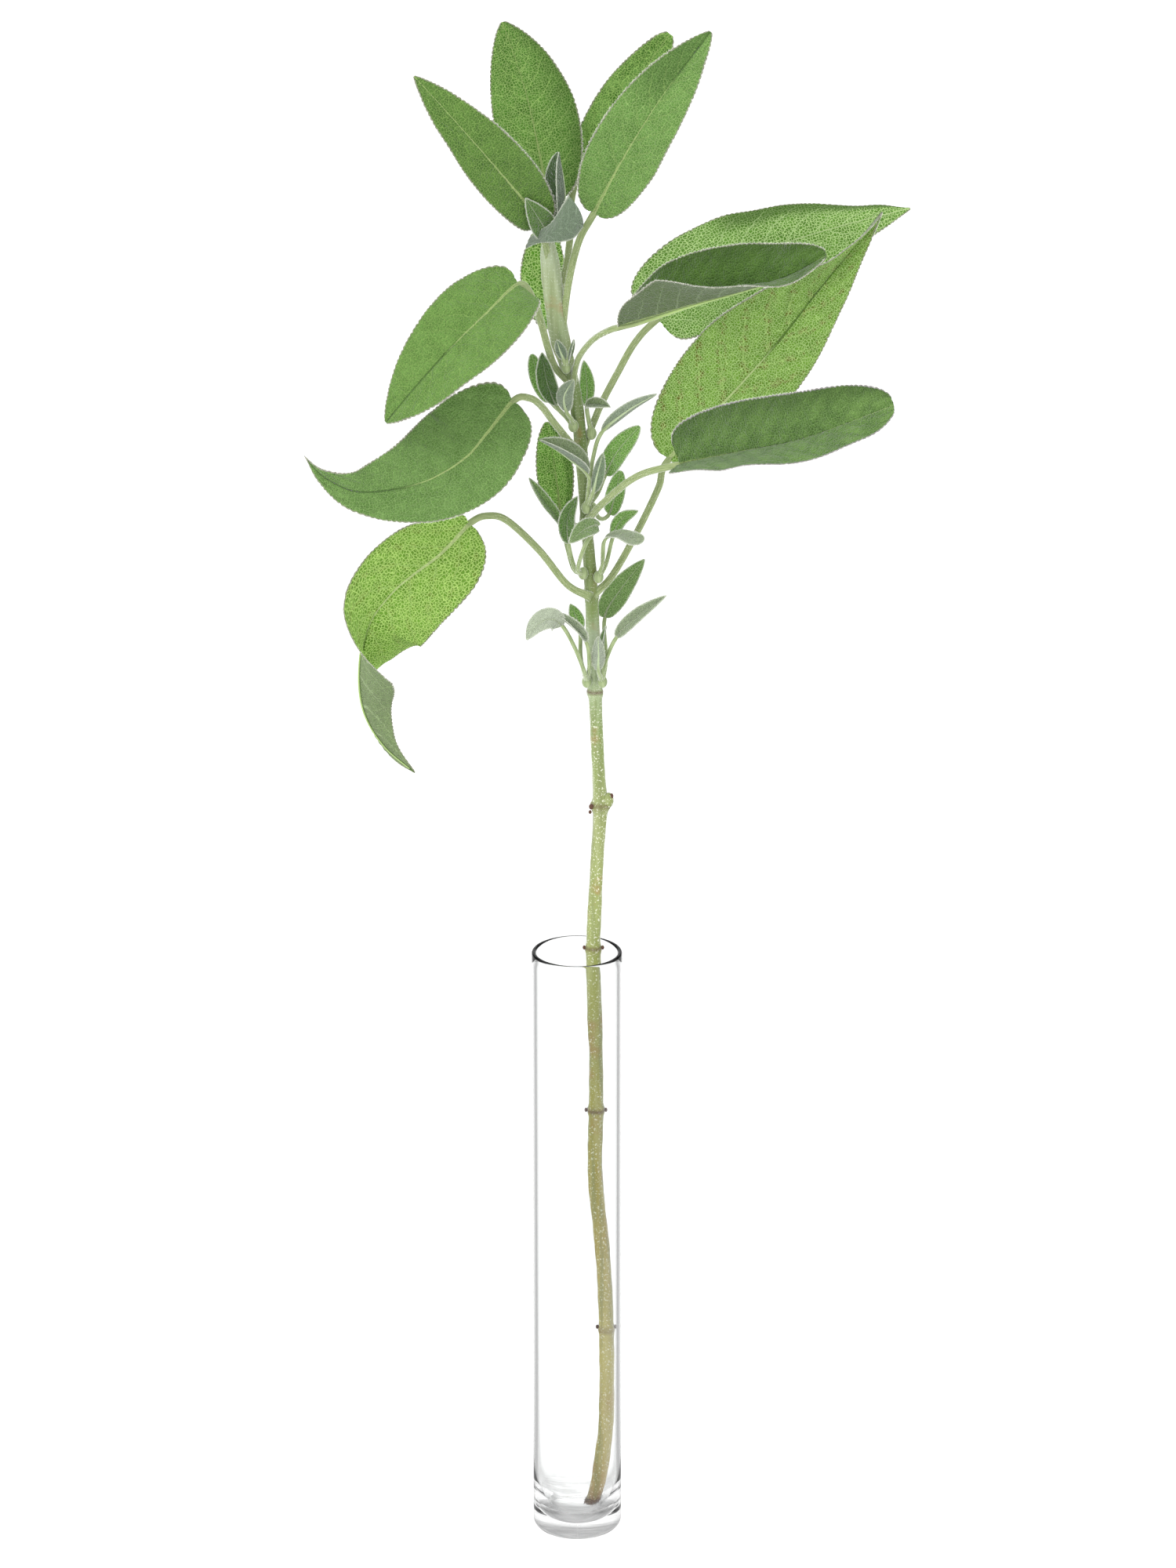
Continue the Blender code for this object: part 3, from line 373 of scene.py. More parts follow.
def build(name, skins, materials):
    """Mesh object from skins in millimetres, smooth shaded, its place in its mesh."""
    first = np.cumsum([0] + [len(s[0]) for s in skins[:-1]])
    corners = np.concatenate([(s[1] + f).ravel() for s, f in zip(skins, first)])
    sides = np.concatenate([np.full(len(s[1]), s[1].shape[1]) for s in skins])
    slots = np.concatenate([np.full(len(s[1]), s[3]) for s in skins])
    points = np.vstack([s[0] for s in skins]) * MM
    mesh = bpy.data.meshes.new(name)
    mesh.vertices.add(len(points))
    mesh.vertices.foreach_set("co", points.ravel())
    mesh.loops.add(len(corners))
    mesh.loops.foreach_set("vertex_index", corners)
    mesh.polygons.add(len(sides))
    mesh.polygons.foreach_set("loop_start", np.r_[0, np.cumsum(sides)[:-1]])
    mesh.polygons.foreach_set("material_index", slots)
    mesh.polygons.foreach_set("use_smooth", np.ones(len(sides), bool))
    for layer in ("place", "veins"):
        values = np.vstack([s[2][layer] for s in skins])
        mesh.uv_layers.new(name=layer).data.foreach_set("uv", values[corners].ravel())
    for mark in MARKS:
        values = np.concatenate([s[2][mark] for s in skins])
        mesh.attributes.new(mark, "FLOAT", "POINT").data.foreach_set("value", values)
    for material in materials:
        mesh.materials.append(material)
    mesh.update(calc_edges=True)
    print(f"{name}: {len(points)} points, {int((sides - 2).sum())} triangles")
    return new_object(name, mesh)


# %% [markdown]
# ## Tubes and hairs
# Leaf stalks and midribs are tubes along a leaf's own curve.  Sage is woolly: every edge
# and stalk carries short white hairs.  Each hair is a single thin tetrahedron, because
# there are thousands of them and nobody sees more than a glint of one.

# %% Tube and hair helpers
def tube(centre, right, face, wide, high, sides, groove=0.0):
    """Rings round a centre line: an ellipse of half width `wide` and half height `high`,
    its upper side pressed in by `groove` of its height in a bell-shaped channel."""
    turn = all_round(sides)
    up = -np.sin(turn) * (1 - groove * np.exp(-((turn - 1.5 * np.pi) / 0.5) ** 2))
    across = wide[:, None, None] * np.cos(turn)[None, :, None] * right[:, None, :]
    return centre[:, None, :] + across + high[:, None, None] * up[None, :, None] * face[:, None, :]


def hairs(roots, outward, length, radius=0.03, stray=0.55):
    """Thin tetrahedra: three root points on a circle and a tip out along the outward
    direction, turned aside at random by `stray`."""
    count = len(roots)
    away = unit(outward + stray * chance.normal(size=(count, 3)))
    side = unit(np.cross(away, chance.normal(size=(count, 3))))
    other = np.cross(away, side)
    reach = (length * chance.uniform(0.45, 1.0, count))[:, None]
    foot = [roots + radius * (math.cos(a) * side + math.sin(a) * other) for a in (0, 2.1, 4.2)]
    points = np.stack(foot + [roots + away * reach], 1)
    faces = np.array([(0, 1, 3), (1, 2, 3), (2, 0, 3), (0, 2, 1)])
    return points, (np.arange(count)[:, None, None] * 4 + faces).reshape(-1, 3)


# %% [markdown]
# ## The blade of a leaf
# A sage blade is a long oval with finely scalloped edges.  Its side veins leave the
# midrib in pairs and curve towards the tip, and the skin between them swells up.  The
# blade is one surface over two parameters, q from base to tip and v from the left edge to
# the right, and it is given its thickness along its own normal, so that the relief of the
# veins shows on both faces as it does on the plant.

# %% Blade surface
def outline(q, shape):
    """Half width of the blade, 1 where it is broadest: q^a (1 - q)^tip, peak at widest,
    times 1 - exp(-q / root) where a leaf's base is drawn out."""
    widest, tip = shape["widest"], shape["tip"]
    base = tip * widest / (1 - widest)
    drawn_out = 1 - np.exp(-q / shape["root"]) if "root" in shape else 1.0
    return q ** base * (1 - q) ** tip / (widest ** base * (1 - widest) ** tip) * drawn_out


def blade_surface(shape, q, v):
    """Middle surface.  Each half is an arc whose slope starts at lift and turns by curl
    towards the edge, and near the base the sections swing back to the ears by
    ears * (q / 0.07) * exp(1 - q / 0.07) * |v|^1.5."""
    across = np.abs(v)
    swing = shape["ears"] * (q / 0.07) * np.exp(1 - q / 0.07) * across ** 1.5
    _, rib_length = leaf_lengths(shape)
    s = q * rib_length - swing
    centre, face, right = leaf_frame(shape, s)
    share = np.where(v > 0, shape["share"], 1 - shape["share"])
    half = shape["width"] * share * outline(q, shape)
    lift = np.radians(np.where(v > 0, spread(shape["lift_right"], q), spread(shape["lift_left"], q)))
    curl = np.radians(np.where(v > 0, spread(shape["curl_right"], q), spread(shape["curl_left"], q)))
    curl = np.where(np.abs(curl) < 1e-4, 1e-4, curl)
    sideways = (half * (np.sin(lift + curl * across) - np.sin(lift)) / curl)[..., None]
    upward = (half * (np.cos(lift) - np.cos(lift + curl * across)) / curl)[..., None]
    side = np.sign(v)[..., None] * right
    return centre + side * sideways + face * upward, s, half * v


def surface_normals(grid, fallback):
    """Normal of a grid of points: across-step cross along-step, or the fallback at folds."""
    along = np.gradient(grid, axis=0)
    across = np.gradient(grid, axis=1)
    raw = np.cross(across, along)
    weak = np.linalg.norm(raw, axis=-1, keepdims=True) < 1e-7
    return unit(np.where(weak, fallback, raw))


# %% [markdown]
# ## Relief of a blade
# The side veins are places where a counter, the phase, passes a whole number.  The phase
# grows from base to tip and falls towards the edge, so a line of equal phase leaves the
# midrib at a slant and bends towards the tip.  The left half's counter is shifted by a
# half, as the real veins don't meet in pairs.

# %% Blade relief
def vein_phase(q, v, pairs):
    """pairs * (q - 0.2 |v|^1.25), plus a half on the left."""
    return pairs * (q - 0.2 * np.abs(v) ** 1.25) + np.where(v < 0, 0.5, 0.0)


def relief(q, v, s, w, pairs, swell, wave, seed):
    """Swellings between the side veins, |sin(pi phase)|^0.6, fading at the edge and the
    midrib, plus a slow ripple that grows with |v|^2 towards the edge."""
    fade = np.clip(np.abs(w) / 1.5, 0, 1) * np.clip((1 - np.abs(v)) * 4, 0, 1)
    pillows = swell * fade * (np.abs(np.sin(np.pi * vein_phase(q, v, pairs))) ** 0.6 - 0.6)
    ripple = wave * v ** 2 * np.sin(s / 2.9 + seed + 2.2 * np.sign(v) + 0.7 * np.sin(s / 5.3 + seed))
    return pillows + ripple


def scallops(s, step, seed):
    """Rounded teeth: |sin(pi s / step)|^0.5, with the step drifting a little."""
    drift = 0.35 * np.sin(s / 3.7 + seed) + 0.2 * np.sin(s / 1.9 + 2 * seed)
    return np.abs(np.sin(np.pi * (s + drift) / step)) ** 0.5 - 0.5


LARGE = dict(row_step=0.23, half_columns=14, thick=0.34, stalk_radius=0.85, pairs=10, swell=0.4,
             wave=0.3, tooth=0.38, tooth_step=1.05, rib_sides=12, hair=0.6, hair_step=0.05)
SMALL = dict(row_step=0.3, half_columns=6, thick=0.3, stalk_radius=0.5, pairs=7, swell=0.15,
             wave=0.12, tooth=0.14, tooth_step=0.9, rib_sides=8, hair=0.45, hair_step=0.07)


def blade_skin(shape, make, seed, tone):
    """Blade as rings: the upper face from left to right and the lower face back, each
    half a thickness from the middle surface.  Also gives the middle surface, for the
    hairs."""
    _, rib_length = leaf_lengths(shape)
    rows = max(24, round(rib_length / make["row_step"]))
    q = 0.006 + 0.986 * eased(np.linspace(0, 1, rows) ** 0.9)
    half_row = eased(np.linspace(0, 1, make["half_columns"] + 1))
    v = np.r_[-half_row[:0:-1], half_row]
    q, v = np.meshgrid(q, v, indexing="ij")
    half = 0.5 * shape["width"] * outline(q, shape)
    notch = make["tooth"] * scallops(q * rib_length + 3 * (v > 0), make["tooth_step"], seed)
    reach = 1 + notch / np.maximum(half, 2.5) * np.abs(v) ** 6
    middle, s, w = blade_surface(shape, q, v * reach)
    _, face, _ = leaf_frame(shape, q * rib_length)
    normal = surface_normals(middle, face)
    bump = relief(q, v, s, w, make["pairs"], make["swell"], make["wave"], seed)
    open_flat = np.clip(half / (2 * make["thick"]), 0, 1)
    middle = middle + normal * (bump * open_flat)[..., None]
    normal = unit(face + (surface_normals(middle, face) - face) * open_flat[..., None])
    thin = normal * (make["thick"] / 2 * (1 - 0.45 * v ** 4))[..., None]
    rib_radius = make["stalk_radius"] * (0.14 + 0.5 * (1 - q) ** 3)
    blade = skin(both(middle + thin, middle - thin), ring_faces(rows, 2 * v.shape[1]), both(paired(s, w)),
                 both(paired(vein_phase(q, v, make["pairs"]), v)), under=both(0 * q, 0 * q + 1),
                 rib=both(np.abs(w) / rib_radius), edge=both((1 - np.abs(v)) * half), tone=tone)
    return blade, middle


def rib_skin(shape, make):
    """Stalk and midrib as one tube: as thick as the stalk down to the stem, where it
    flares, and under the blade thinning by the 0.6 power of the way to the tip."""
    stalk_length, rib_length = leaf_lengths(shape)
    s = np.linspace(-stalk_length, rib_length * 0.97, max(16, round((stalk_length + rib_length) / 0.9)))
    centre, face, right = leaf_frame(shape, s)
    u = np.clip(s / rib_length, 0, 1)
    thinning = 1 - 0.85 * np.clip(u * 1.15, 0, 1) ** 0.6
    flare = 1 + 0.5 * np.exp(-(s + stalk_length) / 1.6)
    radius = make["stalk_radius"] * thinning * flare
    sunk = np.interp(s, [-1.5, 5.0], [0, 1.05]) * radius
    rings = tube(centre - face * sunk[:, None], right, face, radius, radius * 0.92, make["rib_sides"],
                 groove=0.35)
    place = paired(s[:, None], 0.6 * np.arange(make["rib_sides"])[None, :])
    tip_side = np.broadcast_to(u[:, None], rings.shape[:2])
    return skin(rings, ring_faces(len(s), make["rib_sides"]), place, slot=2, tone=tip_side), rings


HAIRY_SHARE = 0.3       # share of the tube's rings, from the stem on, that carry hairs
HAIRS_A_RING = 24


def leaf_hairs(middle, stalk_rings, make):
    """White hairs along both edges, pointing outwards, and all round the stalk."""
    rows = max(3, int(len(stalk_rings) * HAIRY_SHARE))
    row = chance.integers(0, rows, rows * HAIRS_A_RING)
    turn = chance.integers(0, stalk_rings.shape[1], rows * HAIRS_A_RING)
    part = chance.uniform(0, 1, (len(row), 1))
    out = unit(stalk_rings[row, turn] - stalk_rings[row].mean(1))
    roots = stalk_rings[row, turn] * (1 - part) + stalk_rings[row + 1, turn] * part
    skins = [skin(*hairs(roots, out, 0.8 * make["hair"], radius=0.022), slot=1)]
    for column, inner in ((0, 1), (-1, -2)):
        edge = middle[:, column]
        where = distances(edge)
        at = np.sort(chance.uniform(0, where[-1], int(where[-1] / make["hair_step"])))
        out = read_rows(at, where, unit(edge - middle[:, inner]))
        skins.append(skin(*hairs(read_rows(at, where, edge) - 0.1 * out, out, make["hair"]), slot=1))
    return skins


# %% [markdown]
# ## Tools for materials
# All finishes here are worked out from the piece's own measures, yet some also paint
# light and shade into colour: painted shade along the leaves' side veins, in their midribs'
# grooves and in set places on some blades, painted light and shade on the young leaves,
# painted glints on the lower stem and a faint painted glow in the hairs.  A few small
# helpers keep the node trees readable: one puts a node down and fills its sockets, the
# others are the steps used again and again.

# %% Node helpers
def colour(red, green, blue):
    """Linear colour of an sRGB colour given as 0 to 255: ((c + 0.055) / 1.055)^2.4."""
    parts = np.array([red, green, blue]) / 255
    return (*np.where(parts < 0.04045, parts / 12.92, ((parts + 0.055) / 1.055) ** 2.4).tolist(), 1.0)


def shifted(tint, factor, more=0):
    """An sRGB colour times a factor, and a bit more of each, 255 at most."""
    return tuple(min(255, factor * c + more) for c in tint)


def fill(tree, node, sockets):
    """Fill a node's sockets, each with a value, an sRGB colour or a link."""
    for key, value in sockets.items():
        if isinstance(value, bpy.types.NodeSocket):
            tree.links.new(value, node.inputs[key])
        elif node.inputs[key].type == "RGBA" and len(value) == 3:
            node.inputs[key].default_value = colour(*value)
        else:
            node.inputs[key].default_value = value


def put(tree, kind, sockets=None, **settings):
    """A node with its settings made and its sockets filled."""
    node = tree.nodes.new("ShaderNode" + kind)
    for key, value in settings.items():
        setattr(node, key, value)
    fill(tree, node, sockets or {})
    return node


def step(tree, value, start, end, low=0.0, high=1.0, kind="SMOOTHSTEP"):
    """Smooth or LINEAR step from low to high as the value goes from start to end."""
    sockets = {0: value, 1: start, 2: end, 3: low, 4: high}
    return put(tree, "MapRange", sockets, interpolation_type=kind).outputs[0]


def sums(tree, operation, first, second=0.0, third=0.0):
    """One sum on numbers."""
    return put(tree, "Math", {0: first, 1: second, 2: third}, operation=operation).outputs[0]


def times(tree, first, second):
    """Product of two numbers."""
    return sums(tree, "MULTIPLY", first, second)


def mix(tree, factor, first, second):
    """Number between two numbers."""
    return put(tree, "Mix", {0: factor, 2: first, 3: second}).outputs[0]


def paint(tree, ground, over, mask, amount=None):
    """One colour laid over another where the mask is 1, as strongly as the amount says."""
    factor = mask if amount is None else times(tree, mask, amount)
    return put(tree, "Mix", {0: factor, 6: ground, 7: over}, data_type="RGBA").outputs[2]


def noise(tree, place, scale, detail=2.0, flat=False):
    """Cloudy pattern from 0 to 1, with `scale` clouds to a unit of place."""
    return put(tree, "TexNoise", {"Vector": place, "Scale": scale, "Detail": detail},
               noise_dimensions="2D" if flat else "3D").outputs[0]


def stretched(tree, place, scale):
    """A place with its three axes scaled."""
    return put(tree, "Mapping", {0: place, 3: scale}).outputs[0]


def axis(tree, vector, number):
    """One of a vector's three numbers."""
    return put(tree, "SeparateXYZ", {0: vector}).outputs[number]


def mark_of(tree, name):
    """One of the marks that a mesh's points carry."""
    return put(tree, "Attribute", attribute_name=name).outputs["Fac"]


def layer(tree, name):
    """One of a mesh's two maps."""
    return put(tree, "UVMap", uv_map=name).outputs[0]


def own_place(tree):
    """Place in the piece's own metres."""
    return put(tree, "TexCoord").outputs["Object"]


def new_material(name):
    """Material with its node tree and its Principled shader."""
    material = bpy.data.materials.new(name)
    material.use_nodes = True
    return material, material.node_tree, material.node_tree.nodes["Principled BSDF"]


def new_group(name, inputs, outputs):
    """Shader node group with named sockets, and its two end nodes."""
    group = bpy.data.node_groups.new(name, "ShaderNodeTree")
    for label, kind, start in inputs:
        made = group.interface.new_socket(label, in_out="INPUT", socket_type="NodeSocket" + kind)
        if start is not None:
            made.default_value = start
    for label in outputs:
        group.interface.new_socket(label, in_out="OUTPUT", socket_type="NodeSocketFloat")
    return group, group.nodes.new("NodeGroupInput").outputs, group.nodes.new("NodeGroupOutput")


# %% [markdown]
# ## The net of a sage leaf
# Under a lens a sage leaf is a net of small swollen cells, a bit less than a millimetre
# across, between pale veinlets; a coarser net of stronger veinlets lies over it.  A
# Voronoi pattern's distance to the edge of a cell gives just such a net.  The place is
# nudged by noise first, as no real cell has straight sides.  Every leaf material uses
# these two groups, each with its own values.

# %% Groups: leaf net and side veins
def cell_edge(tree, place, many, randomness=1.0):
    """Distance to the edge of the nearest Voronoi cell, with so many cells to a unit."""
    return put(tree, "TexVoronoi", {"Vector": place, "Scale": many, "Randomness": randomness},
               feature="DISTANCE_TO_EDGE", voronoi_dimensions="2D").outputs["Distance"]


def leaf_net():
    """Lines are where the distance to the edge is small; the height is the swelling
    between them, the distance itself with its top cut off."""
    group, given, end = new_group(
        "leaf net", [("Place", "Vector", None), ("Cell", "Float", 0.62), ("Line", "Float", 0.17)],
        ["Net", "Coarse net", "Height", "Clouds"])
    place = given["Place"]
    nudge = put(group, "TexNoise", {"Vector": place, "Scale": 0.9, "Detail": 1.0},
                noise_dimensions="2D").outputs["Color"]
    nudge = put(group, "VectorMath", {0: nudge, 1: (0.5, 0.5, 0.5)}, operation="SUBTRACT").outputs[0]
    moved = put(group, "VectorMath", {0: nudge, 1: (0.6, 0.6, 0.0), 2: place},
                operation="MULTIPLY_ADD").outputs[0]
    many = sums(group, "DIVIDE", 1.0, given["Cell"])
    fine = cell_edge(group, moved, many, 0.8)
    coarse = cell_edge(group, moved, times(group, many, 0.3))
    swelling = times(group, step(group, fine, 0.0, 0.35), 0.6)
    fill(group, end, {
        "Net": step(group, fine, 0.0, given["Line"], 1.0, 0.0),
        "Coarse net": step(group, coarse, 0.0, 0.07, 1.0, 0.0),
        "Height": sums(group, "MULTIPLY_ADD", step(group, coarse, 0.0, 0.2), 0.6, swelling),
        "Clouds": noise(group, place, 0.22, 3.0, flat=True)})
    return group


def side_veins():
    """The counter's distance to the nearest whole number, by ping-pong, is small on a
    vein; a wider band round it is where painted shade darkens the skin beside the sunken
    vein, and where blotches gather."""
    group, given, end = new_group(
        "side veins", [("Veins", "Vector", None), ("Place", "Vector", None), ("Width", "Float", 0.07)],
        ["Vein", "Band"])
    across = sums(group, "ABSOLUTE", axis(group, given["Veins"], 1))
    wander = sums(group, "MULTIPLY_ADD", noise(group, given["Place"], 0.5, 2.0, flat=True), 0.3, -0.15)
    off = sums(group, "PINGPONG", sums(group, "ADD", axis(group, given["Veins"], 0), wander), 0.5)
    width = times(group, given["Width"], step(group, across, 0.2, 1.0, 1.0, 0.4))
    line = step(group, off, 0.0, width, 1.0, 0.0)
    fill(group, end, {"Vein": times(group, line, step(group, across, 0.75, 0.98, 1.0, 0.0)),
                      "Band": step(group, off, 0.04, 0.3, 1.0, 0.0)})
    return group


NET = leaf_net()
SIDE_VEINS = side_veins()
print("groups:", NET.name, "and", SIDE_VEINS.name)

# %% [markdown]
# ## Leaf finish
# A sage leaf is matt and velvety, and light shines through it.  So the material is a mix
# of a rough reflecting shader and a translucent one, both in the same worked-out colour:
# cells with painted shade along the side veins and in set places, then net, side veins,
# midrib with painted shade in its groove, blotches, the greyer underside, painted light and
# shade on the young leaves and the pale woolly edge, one over the other.

# %% Leaf material
def leaf_material(name, cell, deep, net, vein, rib, under, edge, netting=0.5, coarse=0.5, veining=0.6,
                  blotch=(120, 95, 60), blotching=0.0, through=0.45, size=0.62, line=0.17, vein_shade=0.0,
                  sheen=0.3, backlit_shaded_wool_tints=None, shadow=None, fade=None):
    """Colours are sRGB 0 to 255; netting, coarse, veining and blotching are strengths, and
    vein_shade lays painted shade on the skin on both sides of a side vein, where it sinks.
    backlit_shaded_wool_tints holds a skin and a net colour painted as if lit from behind,
    which take over as the tone mark goes to 1, a deep one of painted shade for 2 and a
    pale woolly one for -1.  shadow lays painted shade on the skin and dims its net from one
    place across the blade to another, by an amount, beyond so many millimetres from the
    base.  fade tells between which two distances from the base the midrib goes from a pale
    line to a dark groove of painted shade."""
    material, tree, _ = new_material(name)
    tree.nodes.clear()
    place, veins = layer(tree, "place"), layer(tree, "veins")
    along, across = axis(tree, place, 0), axis(tree, veins, 1)
    marks = {mark: mark_of(tree, mark) for mark in MARKS}
    netted = put(tree, "Group", {"Place": place, "Cell": size, "Line": line}, node_tree=NET).outputs
    side = put(tree, "Group", {"Place": place, "Veins": veins}, node_tree=SIDE_VEINS).outputs

    clouds = step(tree, netted["Clouds"], 0.15, 0.75)
    shade = paint(tree, deep, cell, clouds)
    # Painted shade: the skin beside each side vein is darkened, as where the vein sinks.
    shade = paint(tree, shade, deep, side["Band"], vein_shade)
    if shadow:
        place_from, place_to, amount, start = shadow
        dim = times(tree, step(tree, across, place_from, place_to, 0.0, amount),
                    step(tree, along, start, start + 10))
        shade = paint(tree, shade, shifted(deep, 0.75), dim)
        kept = sums(tree, "SUBTRACT", 1.0, dim)
        netting, coarse = times(tree, kept, netting), times(tree, kept, coarse)
    spots = times(tree, step(tree, noise(tree, place, 0.55, 3.0, flat=True), 0.46, 0.62), side["Band"])
    for tint, mask, amount in ((blotch, spots, blotching), (net, netted["Net"], netting),
                               (net, netted["Coarse net"], coarse), (vein, side["Vein"], veining)):
        shade = paint(tree, shade, tint, mask, amount)
    below = paint(tree, under, shifted(under, 1, 26), netted["Coarse net"], 0.5)
    below = paint(tree, below, shifted(under, 1, 38), side["Vein"], 0.75)
    # Young leaves: tone 1 paints light from behind as a lighter green skin and net, tone 2 paints shade as
    # deep green, -1 is the pale wool.
    if backlit_shaded_wool_tints:
        backlit_skin, backlit_net, shaded_deep, pale_tint = backlit_shaded_wool_tints
        pale, green, dark = (step(tree, marks["tone"], start, end, kind="LINEAR")
                             for start, end in ((0, -1), (0, 1), (1, 2)))
        backlit_look = paint(tree, backlit_skin, backlit_net, netted["Net"], 0.7)
        lit = times(tree, green, sums(tree, "SUBTRACT", 0.6, times(tree, dark, 0.6)))
        for tint, mask in ((backlit_look, green), (shaded_deep, dark), (pale_tint, pale)):
            shade = paint(tree, shade, tint, mask)
        # On the underside too: painted backlight where the tone is 1, painted shade where it is 2.
        for tint, mask in ((backlit_look, lit), ((92, 112, 88), times(tree, dark, 0.6)), (pale_tint, pale)):
            below = paint(tree, below, tint, mask)
    shade = paint(tree, shade, below, marks["under"])
    rib_line = step(tree, marks["rib"], 0.75, 1.15, 1.0, 0.0)
    if fade:
        # Painted shade: past the fade the midrib's pale line gives way to a dark groove, as if it were sunk.
        groove = step(tree, marks["rib"], 0.6, 3.2, 1.0, 0.0)
        groove = times(tree, groove, step(tree, along, *fade, 0.0, 0.75))
        shade = paint(tree, shade, shifted(deep, 0.8), groove)
        rib_line = times(tree, rib_line, step(tree, along, *fade, 1.0, 0.0))
    shade = paint(tree, shade, rib, rib_line)
    hem = sums(tree, "MULTIPLY_ADD", netted["Clouds"], 0.3, marks["edge"])
    shade = paint(tree, shade, edge, step(tree, hem, 0.2, 0.5, 1.0, 0.0))

    lump = sums(tree, "MULTIPLY_ADD", noise(tree, place, 6.0, 2.0, flat=True), 0.25, netted["Height"])
    bump = put(tree, "Bump", {"Strength": 0.9, "Distance": 0.0003, "Height": lump}).outputs[0]
    rough = step(tree, clouds, 0.0, 1.0, 0.72, 0.86)
    face = put(tree, "BsdfPrincipled", {
        "Base Color": shade, "Roughness": rough, "Normal": bump, "Specular IOR Level": 0.25,
        "Sheen Weight": sheen, "Sheen Roughness": 0.35})
    glow = put(tree, "BsdfTranslucent", {"Color": shade, "Normal": bump})
    mixed = put(tree, "MixShader", {0: through, 1: face.outputs[0], 2: glow.outputs[0]})
    put(tree, "OutputMaterial", {0: mixed.outputs[0]})
    return material


def stalk_material(name, dark, light, rib):
    """Pale green, streaked lengthwise, another green along the midrib, with a woolly
    sheen."""
    material, tree, shader = new_material(name)
    streaks = stretched(tree, layer(tree, "place"), (0.35, 4.0, 1.0))
    streak = step(tree, noise(tree, streaks, 1.0, 2.0, flat=True), 0.3, 0.7)
    shade = paint(tree, dark, light, streak)
    shade = paint(tree, shade, rib, step(tree, mark_of(tree, "tone"), 0.0, 0.3))
    fill(tree, shader, {"Base Color": shade, "Roughness": step(tree, streak, 0, 1, 0.6, 0.8),
                        "Sheen Weight": 0.9, "Sheen Roughness": 0.35})
    return material


def wool_material():
    """White hairs that let light through and are a trace warmer where they bunch; they also
    glow faintly, a painted light.
    """
    material, tree, shader = new_material("leaf wool")
    place = own_place(tree)
    tint = paint(tree, (232, 234, 222), (252, 252, 248), noise(tree, place, 300.0))
    # Painted light: a faint white glow that makes the hairs shine.
    fill(tree, shader, {"Base Color": tint, "Emission Color": (1, 1, 1, 1), "Emission Strength": 0.3,
                        "Roughness": step(tree, noise(tree, place, 900.0), 0.2, 0.8, 0.55, 0.8)})
    glow = put(tree, "BsdfTranslucent", {"Color": tint})
    mixed = put(tree, "MixShader", {0: 0.5, 1: shader.outputs[0], 2: glow.outputs[0]})
    fill(tree, tree.nodes["Material Output"], {0: mixed.outputs[0]})
    return material


